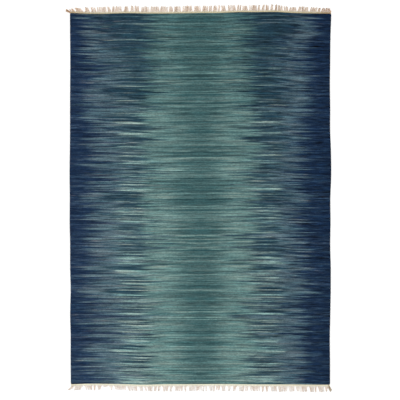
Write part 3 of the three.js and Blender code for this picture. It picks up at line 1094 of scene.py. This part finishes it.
def tubes(paths, radius, sides, on_map, lobes=1, depth=0.0, turn=0.0, chance=None, whereabouts=0.0):
    """Tubes along many paths of equal length: points, faces, map corners, places and facts."""
    count, steps = paths.shape[:2]
    radius, turn, whereabouts = (np.broadcast_to(v, (count, steps)) for v in (radius, turn, whereabouts))
    chance = scatter(np.arange(count), SHADE_SALT) if chance is None else chance
    around = 2 * np.pi * np.arange(sides) / sides
    ridge = (1 + np.cos(lobes * around)) / 2
    out = 1 - depth * (1 - ridge)

    number = np.arange(count * steps * sides).reshape(count, steps, sides)
    next_one = np.roll(number, -1, axis=2)
    walls = np.stack([number[:, :-1], number[:, 1:], next_one[:, 1:], next_one[:, :-1]], -1)
    caps = np.stack([number[:, 0], number[:, -1, ::-1]], 1)

    length = np.linalg.norm(np.diff(paths, axis=1), axis=-1).cumsum(1) * MM
    length = np.concatenate([np.zeros((count, 1)), length], 1) + np.arange(count)[:, None] * NEXT_YARN
    across = radius[..., None] * out * np.cos(around) * MM
    through = radius[..., None] * out * np.sin(around) * MM
    place = np.stack(np.broadcast_arrays(length[..., None], across, through), -1)
    chance = np.asarray(chance)[:, None, None] / 2 + 0.5
    facts = np.stack(np.broadcast_arrays(chance, whereabouts[..., None], ridge), -1)
    return {
        "points": rings(paths, radius, turn, out).reshape(-1, 3) * MM,
        "faces": [walls.reshape(-1, 4), caps.reshape(-1, sides)],
        "corners": map_corners(count, steps, sides, *on_map),
        "place": place.reshape(-1, 3),
        "facts": facts.reshape(-1, 3),
    }


def tube_mesh(name, *sets):
    """One finished mesh from several sets of tubes."""
    before = np.cumsum([0, *(len(one["points"]) for one in sets)])
    faces = [kind + start for one, start in zip(sets, before) for kind in one["faces"]]
    corners = np.concatenate([kind for one in sets for kind in one["corners"]])
    points, place, facts = (
        np.concatenate([one[key] for one in sets]) for key in ("points", "place", "facts")
    )
    mesh = bpy.data.meshes.new(name)
    mesh.from_pydata(points.tolist(), [], [face for kind in faces for face in kind.tolist()])
    mesh.uv_layers.new(name=BAKE_MAP).data.foreach_set("uv", corners.astype(np.float32).ravel())
    return finish_mesh(mesh, yarn_place=place, yarn_facts=facts)


short_path = np.array([[(0.0, 0.0, 0.0), (5.0, 0.0, 0.0)]])
print("a tube of two rings has", len(tubes(short_path, 1.0, 8, (0, 1, 1))["points"]), "points")

# %% [markdown]
# The fringe
# Cut warp ends don't stand like the teeth of a comb. Where the rug has been folded and walked on,
# they cling together in locks that lean this way and that, with gaps between. The table has one row
# for each lock of the rug's solids, and a few of them lie some millimetres closer to how the real
# ones do.

# %% Locks of the fringe
BAND_CLEARANCE = 0.4
BAND_WIDTH = 6
BAND_INSET = 1.5
TOP_LOCKS = [  # start, end, lean and reach
    (-692, -673, -12, 21), (-663, -628, -17, 25), (-618, -595, -7, 31), (-583, -558, -8, 32),
    (-554, -504, -4, 34), (-496, -479, -6, 34), (-475, -423, 0, 36), (-409, -387, 3, 35),
    (-375, -358, 0, 37), (-354, -330, 2, 37), (-320, -272, 0, 34), (-270, -220, 0, 35),
    (-218, -177, 1, 36), (-168, -147, -5, 35), (-141, -106, -2, 35), (-98, -44, 0, 37), (-34, 1, 0, 36),
    (9, 39, 0, 37), (44, 61, 0, 37), (67, 90, 0, 37), (94, 103, 0, 39), (114, 134, -4, 37),
    (146, 166, 0, 37), (171, 189, -3, 36), (194, 216, 2, 37), (224, 252, -1, 33), (261, 301, 0, 36),
    (305, 319, 3, 36), (326, 341, 4, 36), (349, 365, 0, 36), (374, 388, 2, 38), (398, 409, 0, 37),
    (414, 439, 0, 34), (446, 470, -1, 30), (473, 514, 2, 29), (520, 536, 4, 34), (540, 576, 4, 32),
    (585, 621, 5, 31), (625, 641, 3, 27), (645, 695, 3, 28),
]
BOTTOM_LOCKS = [
    (-697, -681, -23, 32), (-677, -637, -9, 29), (-622, -587, 4, 30), (-576, -567, 1, 30),
    (-556, -537, 0, 29), (-523, -510, -1, 14), (-487, -477, 1, 28), (-466, -402, 3, 28),
    (-398, -345, 9, 30), (-332, -314, 6, 31), (-302, -294, 3, 29), (-288, -259, 5, 32),
    (-250, -236, -1, 32), (-230, -217, -1, 32), (-203, -174, 0, 35), (-165, -151, 0, 35),
    (-139, -93, 1, 33), (-88, -77, 1, 36), (-64, -28, 0, 32), (-26, 8, -1, 32), (13, 21, 0, 34),
    (25, 35, 0, 34), (44, 78, 2, 34), (85, 106, 0, 31), (114, 133, 1, 34), (149, 163, -1, 33),
    (177, 193, -1, 33), (208, 238, 0, 34), (243, 257, 1, 32), (263, 321, 1, 32), (332, 343, 0, 37),
    (351, 367, 0, 37), (378, 411, 2, 34), (419, 471, 1, 35), (474, 508, 4, 35), (514, 540, 5, 35),
    (544, 575, 4, 37), (589, 614, 2, 36), (618, 626, 1, 38), (635, 666, 5, 36), (672, 683, 1, 32),
]


def past_edge(across, past, side):
    """The place past the cloth's edge. Side is 1 for the top end and -1 for the bottom end."""
    inside = CLOTH_WIDTH / 2 - BAND_INSET
    on_edge = np.clip(across, -inside, inside)
    x, y = on_cloth(on_edge, side * CLOTH_LENGTH / 2)
    return x + across - on_edge, y + side * past


print(len(TOP_LOCKS), "locks at the top end and", len(BOTTOM_LOCKS), "at the bottom end")

# %% [markdown]
# Which yarn joins which lock
# Every yarn starts at its own warp, three millimetres from the next, and joins the nearest lock. The
# yarns of a lock cling to each other in strands of two or three.

# %% Yarns, strands and locks
WARP_PITCH = 3.0
STRAND_PITCH = 7.5
MOST_IN_LOCK = 20  # more strands than any lock has


def join_locks(locks, root):
    """The strand that each yarn joins, where it comes to lie there, and its lock's lean and reach."""
    start, end, lean, reach = np.array(locks, float).T
    lock = np.maximum(start - root[:, None], root[:, None] - end).argmin(1)
    rank = np.arange(len(root)) - np.searchsorted(lock, np.arange(len(start)))[lock]
    share = (rank + 0.5) / np.bincount(lock, minlength=len(start))[lock]
    wide = (end - start)[lock]
    strands = np.maximum(1, np.round(wide / STRAND_PITCH))
    strand = np.floor(share * strands)
    strand_place = ((strand + 0.5) / strands - 0.5) * wide
    return SimpleNamespace(
        place=start[lock] + share * wide,
        strand=MOST_IN_LOCK * lock + strand,
        strand_place=strand_place,
        in_strand=(share - 0.5) * wide - strand_place,
        lean=lean[lock],
        reach=reach[lock],
    )


print("each end has", int(CLOTH_WIDTH / WARP_PITCH), "yarns")

# %% [markdown]
# The way of a yarn
# A yarn comes out of the band straight, bends over to its place in the lock and leans with it from
# there, and the further it has to go aside, the longer that takes. Some yarns ride up over their
# neighbours, and no two are cut to the same length.

# %% Paths of the fringe's yarns
YARN_RADIUS = 1.05
YARN_STEPS = 24
STEPS_IN_BAND = 4
START_PAST = -1.0  # the yarns start a little inside the cloth
ROOT_PAST = BAND_CLEARANCE + BAND_WIDTH / 2
BAND_END = BAND_CLEARANCE + BAND_WIDTH
BAND_MIDDLE_HEIGHT = 1.4
FAN_LENGTH = 8  # from the band to where a yarn has joined its lock
FAN_SLOWNESS = 0.9  # and how much longer it takes for each millimetre that it moves aside
DESCENT = 0.8  # share of it within which a yarn comes down to the floor
LOOSENING = (0.92, 1.08)  # a yarn opens up from its root to its tip
LOCK_GATHER = 0.88  # how far the tips of a lock's strands draw together
STRAND_GATHER = 0.45  # and those of one strand's yarns
STRAND_SCATTER = {"lean": 2.6, "reach": 1.8}
YARN_SCATTER = {"lean": 1.3, "reach": 1.6, "curl": 1.6}
PAST_SOLID = {1: 1.5, -1: 2.2}  # how far the cut ends reach past the solids, on average
RIDE = 1.0  # how far some yarns ride up over others
RIDE_SPREAD = 1.5  # more than one, so that several ride equally high
RIDE_FALL = 0.6  # how much of that they lose towards the tip
STRAND_CHANCE = 0.7  # how much of a yarn's shade it shares with its strand
STRAND_SALTS = {"lean": 0, "reach": 3}
YARN_SALTS = ("lean", "reach", "curl", "ride", "strand", "shade")
SALT_STEP = 10  # keeps the salts of the two ends apart


def yarn_paths(locks, side):
    """Paths of all the yarns at one end, how far past the edge they have come, and their chances."""
    number = np.arange(int(CLOTH_WIDTH / WARP_PITCH))
    root = (number + 0.5 - len(number) / 2) * WARP_PITCH
    yarn = join_locks(locks, root)
    salt = {name: SALT_STEP * (side + 2) + k for k, name in enumerate(YARN_SALTS)}
    stray = {
        name: STRAND_SCATTER[name] * scatter(yarn.strand, side + STRAND_SALTS[name])
        + YARN_SCATTER[name] * scatter(number, salt[name])
        for name in STRAND_SALTS
    }

    tip_lean = yarn.lean + yarn.strand_place * (LOCK_GATHER - 1) + yarn.in_strand * (STRAND_GATHER - 1)
    tip_lean = tip_lean + stray["lean"]
    tip_past = yarn.reach + PAST_SOLID[side] + stray["reach"]

    in_band = np.linspace(START_PAST, BAND_END, STEPS_IN_BAND)
    beyond = np.linspace(0, 1, YARN_STEPS + 2 - STEPS_IN_BAND)[1:]
    past = BAND_END + (tip_past - BAND_END)[:, None] * beyond
    past = np.concatenate([np.broadcast_to(in_band, (len(number), STEPS_IN_BAND)), past], 1)

    aside = yarn.place - root
    share = np.clip((past - ROOT_PAST) / (tip_past - ROOT_PAST)[:, None], 0, 1)
    joining = smooth((past - BAND_END) / (FAN_LENGTH + FAN_SLOWNESS * np.abs(aside))[:, None])
    curl = YARN_SCATTER["curl"] * scatter(number, salt["curl"])[:, None]
    across = root[:, None] + aside[:, None] * joining + tip_lean[:, None] * share**2 + curl * share**3
    x, y = past_edge(across, past, side)
    down = smooth((past - BAND_END) / (DESCENT * FAN_LENGTH))
    z = BAND_MIDDLE_HEIGHT + (YARN_RADIUS * LOOSENING[1] - BAND_MIDDLE_HEIGHT) * down
    rides = np.clip(scatter(number, salt["ride"]) * RIDE_SPREAD, 0, 1)[:, None]
    z = z + RIDE * rides * joining * (1 - RIDE_FALL * share**4)
    chance = STRAND_CHANCE * scatter(yarn.strand, salt["strand"])
    chance = chance + (1 - STRAND_CHANCE) * scatter(number, salt["shade"])
    return np.stack([x, y, z], -1), past, chance


print("the yarns lie down within", DESCENT * FAN_LENGTH, "mm of the band")

# %% [markdown]
# The fringe's yarns
# Each yarn is two plies twisted together. A smooth tube with a twisted bump would look right from
# above, but not at its outline, so the two lobes are in its section. Near the band a yarn has taken
# up a little of the band's yellower shade, and its tip is dusty.

# %% Plied yarns
YARN_TWIST = 9.0  # the length of one full turn
YARN_SIDES = 8
PLY_DEPTH = 0.42  # how far the groove between two plies goes in, as a share of the radius
CUT_END = 0.6  # the last ring of a cut yarn is that much smaller
ROOT_TINT_LENGTH = 6  # the shade near the band fades out over this length
TIP_LENGTH = 9  # and the dust at the tips over this one
TWIST_SALT = 7


def fringe_yarns(locks, side, on_map):
    paths, past, chance = yarn_paths(locks, side)
    start = np.pi * scatter(np.arange(len(paths)), TWIST_SALT)
    turn = 2 * np.pi * past / YARN_TWIST + start[:, None]
    loose = np.linspace(*LOOSENING, paths.shape[1])
    loose[-1] = CUT_END
    rooted = 1 - smooth((past - BAND_END) / ROOT_TINT_LENGTH)
    at_tip = smooth(1 - (past[:, -1:] - past) / TIP_LENGTH)
    shape = {"lobes": 2, "depth": PLY_DEPTH, "turn": turn, "chance": chance, "whereabouts": rooted - at_tip}
    return paths, chance, tubes(paths, YARN_RADIUS * loose, YARN_SIDES, on_map, **shape)


reaches = [reach for _, _, _, reach in TOP_LOCKS]
print("a yarn makes about", round(np.mean(reaches) / YARN_TWIST, 1), "turns from its root to its tip")

# %% [markdown]
# Frayed tips
# A cut cotton end opens at once. Each yarn gets seven fine strands that leave it just before its tip
# and spread beyond it, each with a curl of its own. Hair particles could do that, but plain tubes
# are a mesh like the rest and come out the same each time.

# %% Fine strands at the tips
HAIRS = 7
HAIR_SIDES = 3
HAIR_STEPS = 5
HAIR_RADIUS = 0.15
HAIR_TAPER = 0.35  # its radius at the tip, as a share of that at the root
HAIR_START = 1.0  # how far before the yarn's end it leaves
HAIR_SPREAD = 1.5
HAIR_SCATTER = 0.5  # share of the spread by which it strays
HAIR_BEND = 1.5  # the power with which it bends aside
HAIR_CURL = 0.5
HAIR_REACH = 2.3
HAIR_UNEVEN = 0.4  # share of the reach that is left to chance
HAIR_SINK = 0.5  # share of its height that it loses
HAIR_RISE = 0.25  # how far it strays up or down
HAIR_SALTS = {"swing": 31, "reach": 32, "rise": 33, "curl": 34}


def frayed_tips(paths, chance, on_map):
    """Fine strands at the end of each path."""
    tip, before = paths[:, -1], paths[:, -3]
    ahead = (tip - before) / np.linalg.norm(tip - before, axis=-1, keepdims=True)
    aside = np.stack([-ahead[:, 1], ahead[:, 0], 0 * ahead[:, 0]], -1)
    share = np.linspace(0, 1, HAIR_STEPS)[None, :, None]
    strands = []
    for k in range(HAIRS):
        number = HAIRS * np.arange(len(paths)) + k
        draw = {name: scatter(number, salt)[:, None, None] for name, salt in HAIR_SALTS.items()}
        swing = HAIR_SPREAD * ((k + 0.5) / HAIRS * 2 - 1 + HAIR_SCATTER * draw["swing"])
        far = HAIR_REACH * (1 - HAIR_UNEVEN + HAIR_UNEVEN * draw["reach"])
        sideways = swing * share**HAIR_BEND + HAIR_CURL * draw["curl"] * np.sin(np.pi * share)
        path = (tip - HAIR_START * ahead)[:, None] + ahead[:, None] * (HAIR_START + far) * share
        path = path + aside[:, None] * sideways
        z = HAIR_RADIUS + (path[..., 2] - HAIR_RADIUS) * (1 - HAIR_SINK * share[..., 0])
        path[..., 2] = np.maximum(z + HAIR_RISE * draw["rise"][..., 0], HAIR_RADIUS)
        strands.append(path)
    thin = HAIR_RADIUS * np.linspace(1.0, HAIR_TAPER, HAIR_STEPS)
    chance = np.tile(np.broadcast_to(chance, len(paths)), HAIRS)
    return tubes(np.concatenate(strands), thin, HAIR_SIDES, on_map, chance=chance, whereabouts=-1.0)


print("a cut end frays over", HAIR_START + HAIR_REACH, "mm at most")

# %% [markdown]
# The end bands
# The first picks past the coloured cloth are of the same cotton as the warp. They are one long yarn
# that goes over one warp and under the next, turns back at the side and comes back the other way
# round. A flat strip with a bump would do from far off, but the band is as thick as the cloth, and
# its round picks show at the edge.

# %% The bands' picks
PICKS = 6
PICK_RADIUS = 0.62
PICK_SIDES = 6
PICK_WAVE = 0.72  # how far a pick rises over a warp and sinks under the next
PICK_STEP = 1.5
PICK_STRAY = 0.15
PICK_STRAY_LENGTH = 25
PICK_SALT = 41
TURN = np.linspace(0, 1, 7)[1:-1]  # shares of the way round a turn
TURN_REACH = 1.3  # how far a turn stands out


def band_picks(side, on_map):
    """One long yarn that runs to and fro and turns back at each side."""
    reach = CLOTH_WIDTH / 2 - BAND_INSET
    across = np.arange(-reach, reach + PICK_STEP / 2, PICK_STEP)
    gap = (BAND_WIDTH - 2 * PICK_RADIUS) / (PICKS - 1)
    route = []
    for k in range(PICKS):
        line = across if k % 2 == 0 else across[::-1]
        stray = PICK_STRAY * drift(line / PICK_STRAY_LENGTH, k, PICK_SALT)
        past = BAND_CLEARANCE + PICK_RADIUS + gap * k + stray
        wave = np.cos(np.pi * (line / WARP_PITCH - 0.5) + np.pi * k)
        pick = np.stack([line, past, BAND_MIDDLE_HEIGHT + PICK_WAVE * wave], -1)
        if route:
            end = route[-1][-1]
            turn = end + (pick[0] - end) * TURN[:, None]
            turn[:, 0] += np.sign(end[0]) * TURN_REACH * np.sin(np.pi * TURN)
            route.append(turn)
        route.append(pick)
    line, past, z = np.concatenate(route).T
    x, y = past_edge(line, past, side)
    return tubes(np.stack([x, y, z], -1)[None], PICK_RADIUS, PICK_SIDES, on_map, whereabouts=1.0)


print("the yarn of one band is about", round(PICKS * CLOTH_WIDTH * MM, 1), "metres long")

# %% [markdown]
# The cord ends
# The outermost warps are thick cords, each made of eight yarns laid round each other. At three
# corners the end of one sticks out. A single fat tube would look like rope from a shop, so the cord
# is built of its yarns. They wind slowly round its middle line, lie flatter than they are wide, come
# thin out of the cloth and open up at the cut end.

# %% Ends of the selvedge cords
TOP_CORDS = [(-697, -25, 17.5, 12), (695, 2, 17, 8)]  # root, lean, reach and width
BOTTOM_CORDS = [(692, 14, 35, 13)]
CORD_YARNS = 8
CORD_YARN_RADIUS = 1.35
CORD_STEPS = 32
CORD_START = -0.12  # it starts inside the cloth
CORD_END = 0.95
CORD_UNEVEN = 0.05  # by this share its yarns are cut longer or shorter
CORD_LEAN = 1.2  # the power with which it bends over to the side
CORD_CURVE = 1.3  # and with which it gets slower on its way out
CORD_TWIST = 64.0  # the length of one full turn
CORD_FLAT = 0.34  # a cord's height as a share of its width
CORD_WIDENING = 0.3  # how much of its width it gains on the way
CORD_OPENING = 0.25  # and how much more it opens up at its cut end
CORD_OPENING_LENGTH = 0.3  # over this share of its length
CORD_ROOT = 0.4  # how thin it is where it comes out of the cloth, as a share
CORD_ROOT_LENGTH = 0.35  # it has its full width at this share of its length
CORD_TINT_LENGTH = 0.3
CORD_SALT = 71


def cord_ends(cords, side, on_map):
    """Yarns laid round a cord's middle line."""
    number = np.arange(len(cords) * CORD_YARNS)[:, None]
    root, lean, reach, width = np.repeat(np.array(cords, float), CORD_YARNS, axis=0).T[..., None]
    share = np.linspace(CORD_START, CORD_END, CORD_STEPS)
    share = share * (1 + CORD_UNEVEN * scatter(number, CORD_SALT))
    out = np.maximum(share, 0)
    across = root + lean * out**CORD_LEAN
    slowing = 1 - (1 - out) ** CORD_CURVE
    past = ROOT_PAST + (reach - ROOT_PAST) * np.where(share < 0, share, slowing)
    ahead = np.stack([np.gradient(across, axis=1), np.gradient(past, axis=1)])
    step = np.hypot(*ahead)
    length = step.cumsum(1)

    angle = 2 * np.pi * (number / CORD_YARNS - length / CORD_TWIST)
    slim = CORD_ROOT + (1 - CORD_ROOT) * smooth(out / CORD_ROOT_LENGTH)
    opening = 1 + CORD_OPENING * smooth((out - 1 + CORD_OPENING_LENGTH) / CORD_OPENING_LENGTH)
    ring = (width / 2 - CORD_YARN_RADIUS) * slim * opening
    ring = ring * (1 - CORD_WIDENING + CORD_WIDENING * out)
    aside = ring * np.cos(angle) / step
    x, y = past_edge(across + aside * ahead[1], past - aside * ahead[0], side)
    z = CORD_YARN_RADIUS * LOOSENING[1] + CORD_FLAT * ring * (1 + np.sin(angle))
    paths = np.stack([x, y, z], -1)
    radius = CORD_YARN_RADIUS * np.linspace(*LOOSENING, CORD_STEPS) * np.sqrt(slim)
    radius[:, -1] *= CUT_END
    rooted = 1 - smooth(out / CORD_TINT_LENGTH)
    turn = 2 * np.pi * length / YARN_TWIST + number
    shape = {"lobes": 2, "depth": PLY_DEPTH, "turn": turn, "whereabouts": rooted}
    return paths, tubes(paths, radius, YARN_SIDES, on_map, **shape)


print(len(TOP_CORDS) + len(BOTTOM_CORDS), "cord ends of", CORD_YARNS, "yarns each")

# %% [markdown]
# The cotton
# The warp is undyed, so its colour changes little: a few yarns are creamier and a few paler. The
# rug's top end has been out in the light and the dust for longer and is tanner than the bottom end.
# Both ends are greyer towards the corners, which are stepped on most. Near the band the yarns are
# yellower, down in the twist a painted shade makes them darker, and dust lies on the cut tips. The
# corner cords are soiled. It is all one function with other dyes.

# %% Cotton dyes and sizes
COTTONS = {  # dark, usual and light dyes, and the dye near the band
    "top": ((196, 164, 134), (241, 219, 199), (252, 240, 228), (214, 204, 172)),
    "bottom": ((230, 206, 187), (251, 240, 230), (254, 249, 244), (242, 238, 216)),
    "top_cords": ((152, 116, 84), (198, 160, 126), (226, 196, 166), (178, 144, 110)),
    "bottom_cords": ((158, 140, 112), (192, 174, 148), (218, 202, 178), (188, 168, 138)),
}
COTTON_STOPS = (0.15, 0.5, 0.85)  # where the dark, the usual and the light dye lie
TIP_DUST = (226, 222, 216)  # the shade that dust gives the cut ends
AGING = {  # across the rug, and the shade that age gives the yarns there
    "top": [
        (-690, (228, 214, 202)),
        (-640, (242, 234, 227)),
        (-560, (255, 255, 255)),
        (100, (255, 255, 255)),
        (450, (243, 241, 238)),
        (630, (232, 226, 218)),
        (675, (210, 192, 178)),
    ],
    "bottom": [
        (-690, (246, 241, 236)),
        (-640, (255, 255, 255)),
        (200, (255, 255, 255)),
        (450, (248, 246, 243)),
        (690, (243, 240, 235)),
    ],
}
SLOW_CHANGE = {"Length": 22 * MM, "Thickness": 1.0, "Seed": 3.5}  # along a yarn
SLOW_SHARE = 0.4  # how much of a yarn's shade that is, and the rest is its chance
# Painted shade: a yarn's colour is darker down in the groove between its two plies.
PAINTED_PLY_SHADE = [(0.0, 0.88), (0.6, 1.0)]  # how far out on the ridge, and the shade there
COTTON_HAIR = {"Length": 1.6 * MM, "Width": 0.12 * MM}
COTTON_BUMP = {"Distance": 0.12 * MM, "Strength": 0.6}
COTTON_SHEEN = 0.05

print(len(COTTONS), "sets of cotton dyes")

# %% [markdown]
# One way for all the cotton
# The meshes of the yarns keep three facts at each point: the chance of the yarn, how near the point
# is to the band or to a tip, and how far out it lies on a ply. The material turns them into shades,
# which so follow each yarn on its way through the fringe; the last fact gives a painted shade down
# in the twist between the plies. A picture laid over the fringe from above could not do that,
# because the yarns cross.


# %% Cotton materials
def cotton(name):
    """The cotton of one end or of its cords."""
    finish = {**YARN_FINISH, "Sheen Weight": COTTON_SHEEN}
    material, tree, shader = new_material("cotton_" + name, finish)
    *dyes, near_band = (linear(dye) for dye in COTTONS[name])
    place = add(tree, "ShaderNodeAttribute", attribute_name="yarn_place").outputs["Vector"]
    facts = add(tree, "ShaderNodeAttribute", attribute_name="yarn_facts").outputs["Vector"]
    chance, whereabouts, ridge = split(tree, facts)

    along_yarn = joined(tree, split(tree, place)[0], 0.0)
    slow = place_group(tree, STREAKS, Place=along_yarn, **SLOW_CHANGE)["Streak"]
    shade = weighted(tree, 0.0, (chance, 1 - SLOW_SHARE), (slow, SLOW_SHARE))
    colour = ramp(tree, shade, list(zip(COTTON_STOPS, dyes)))
    colour = mix(tree, calc(tree, "MAXIMUM", whereabouts, 0.0), colour, near_band)
    dusty = calc(tree, "MULTIPLY", calc(tree, "MULTIPLY", whereabouts, -1.0, clamp=True), chance)
    colour = mix(tree, dusty, colour, linear(TIP_DUST), blend="MULTIPLY")
    if name in AGING:
        across = split(tree, add(tree, "ShaderNodeTexCoord").outputs["Object"])[0]
        share = calc(tree, "MULTIPLY_ADD", across, 1 / (CLOTH_WIDTH * MM), 0.5)
        stops = [(x / CLOTH_WIDTH + 0.5, linear(shade)) for x, shade in AGING[name]]
        colour = times(tree, colour, ramp(tree, share, stops))
    # painted shade down in the twist between the plies
    colour = times(tree, colour, level(tree, ridge, PAINTED_PLY_SHADE))
    hairs = place_group(tree, FIBRES, Place=place, **COTTON_HAIR)["Grain"]
    lay_on(tree, shader, colour, hairs, COTTON_BUMP)
    return material


cottons = {name: cotton(name) for name in COTTONS}
print("cottons:", ", ".join(cottons))

# %% [markdown]
# Trimming both ends
# The two ends are made by the same steps from their own tables. Each end's yarns fill one mesh. Its
# band and its frayed tips share another, and its cord ends are a third, because they are of a darker
# cotton. Tubes that share a mesh share its bake map too, so each kind is given its own part of it.

# %% Fringes, bands and cords in the scene
ENDS = {"top": (TOP_LOCKS, TOP_CORDS, 1), "bottom": (BOTTOM_LOCKS, BOTTOM_CORDS, -1)}
MAP_PARTS = {  # from the left and to the right on the bake map, and in how many rows
    "yarns": (0, 1, 8),
    "tips": (0, 0.8, 12),
    "band": (0.8, 0.95, 1),
    "cord_yarns": (0, 0.5, 2),
    "cord_tips": (0.5, 1, 4),
}

for name, (locks, cords, side) in ENDS.items():
    node = "fringe_" + name
    paths, chance, yarns = fringe_yarns(locks, side, MAP_PARTS["yarns"])
    tips = frayed_tips(paths, chance, MAP_PARTS["tips"])
    picks = band_picks(side, MAP_PARTS["band"])
    cord_paths, cord_yarns = cord_ends(cords, side, MAP_PARTS["cord_yarns"])
    cord_tips = frayed_tips(cord_paths, 0.0, MAP_PARTS["cord_tips"])
    for mesh, dyes in (
        (tube_mesh(node + "_yarns", yarns), name),
        (tube_mesh(node + "_band_and_tips", picks, tips), name),
        (tube_mesh(name + "_cord_ends", cord_yarns, cord_tips), name + "_cords"),
    ):
        show(mesh, cottons[dyes], node, slot="undyed_cotton")
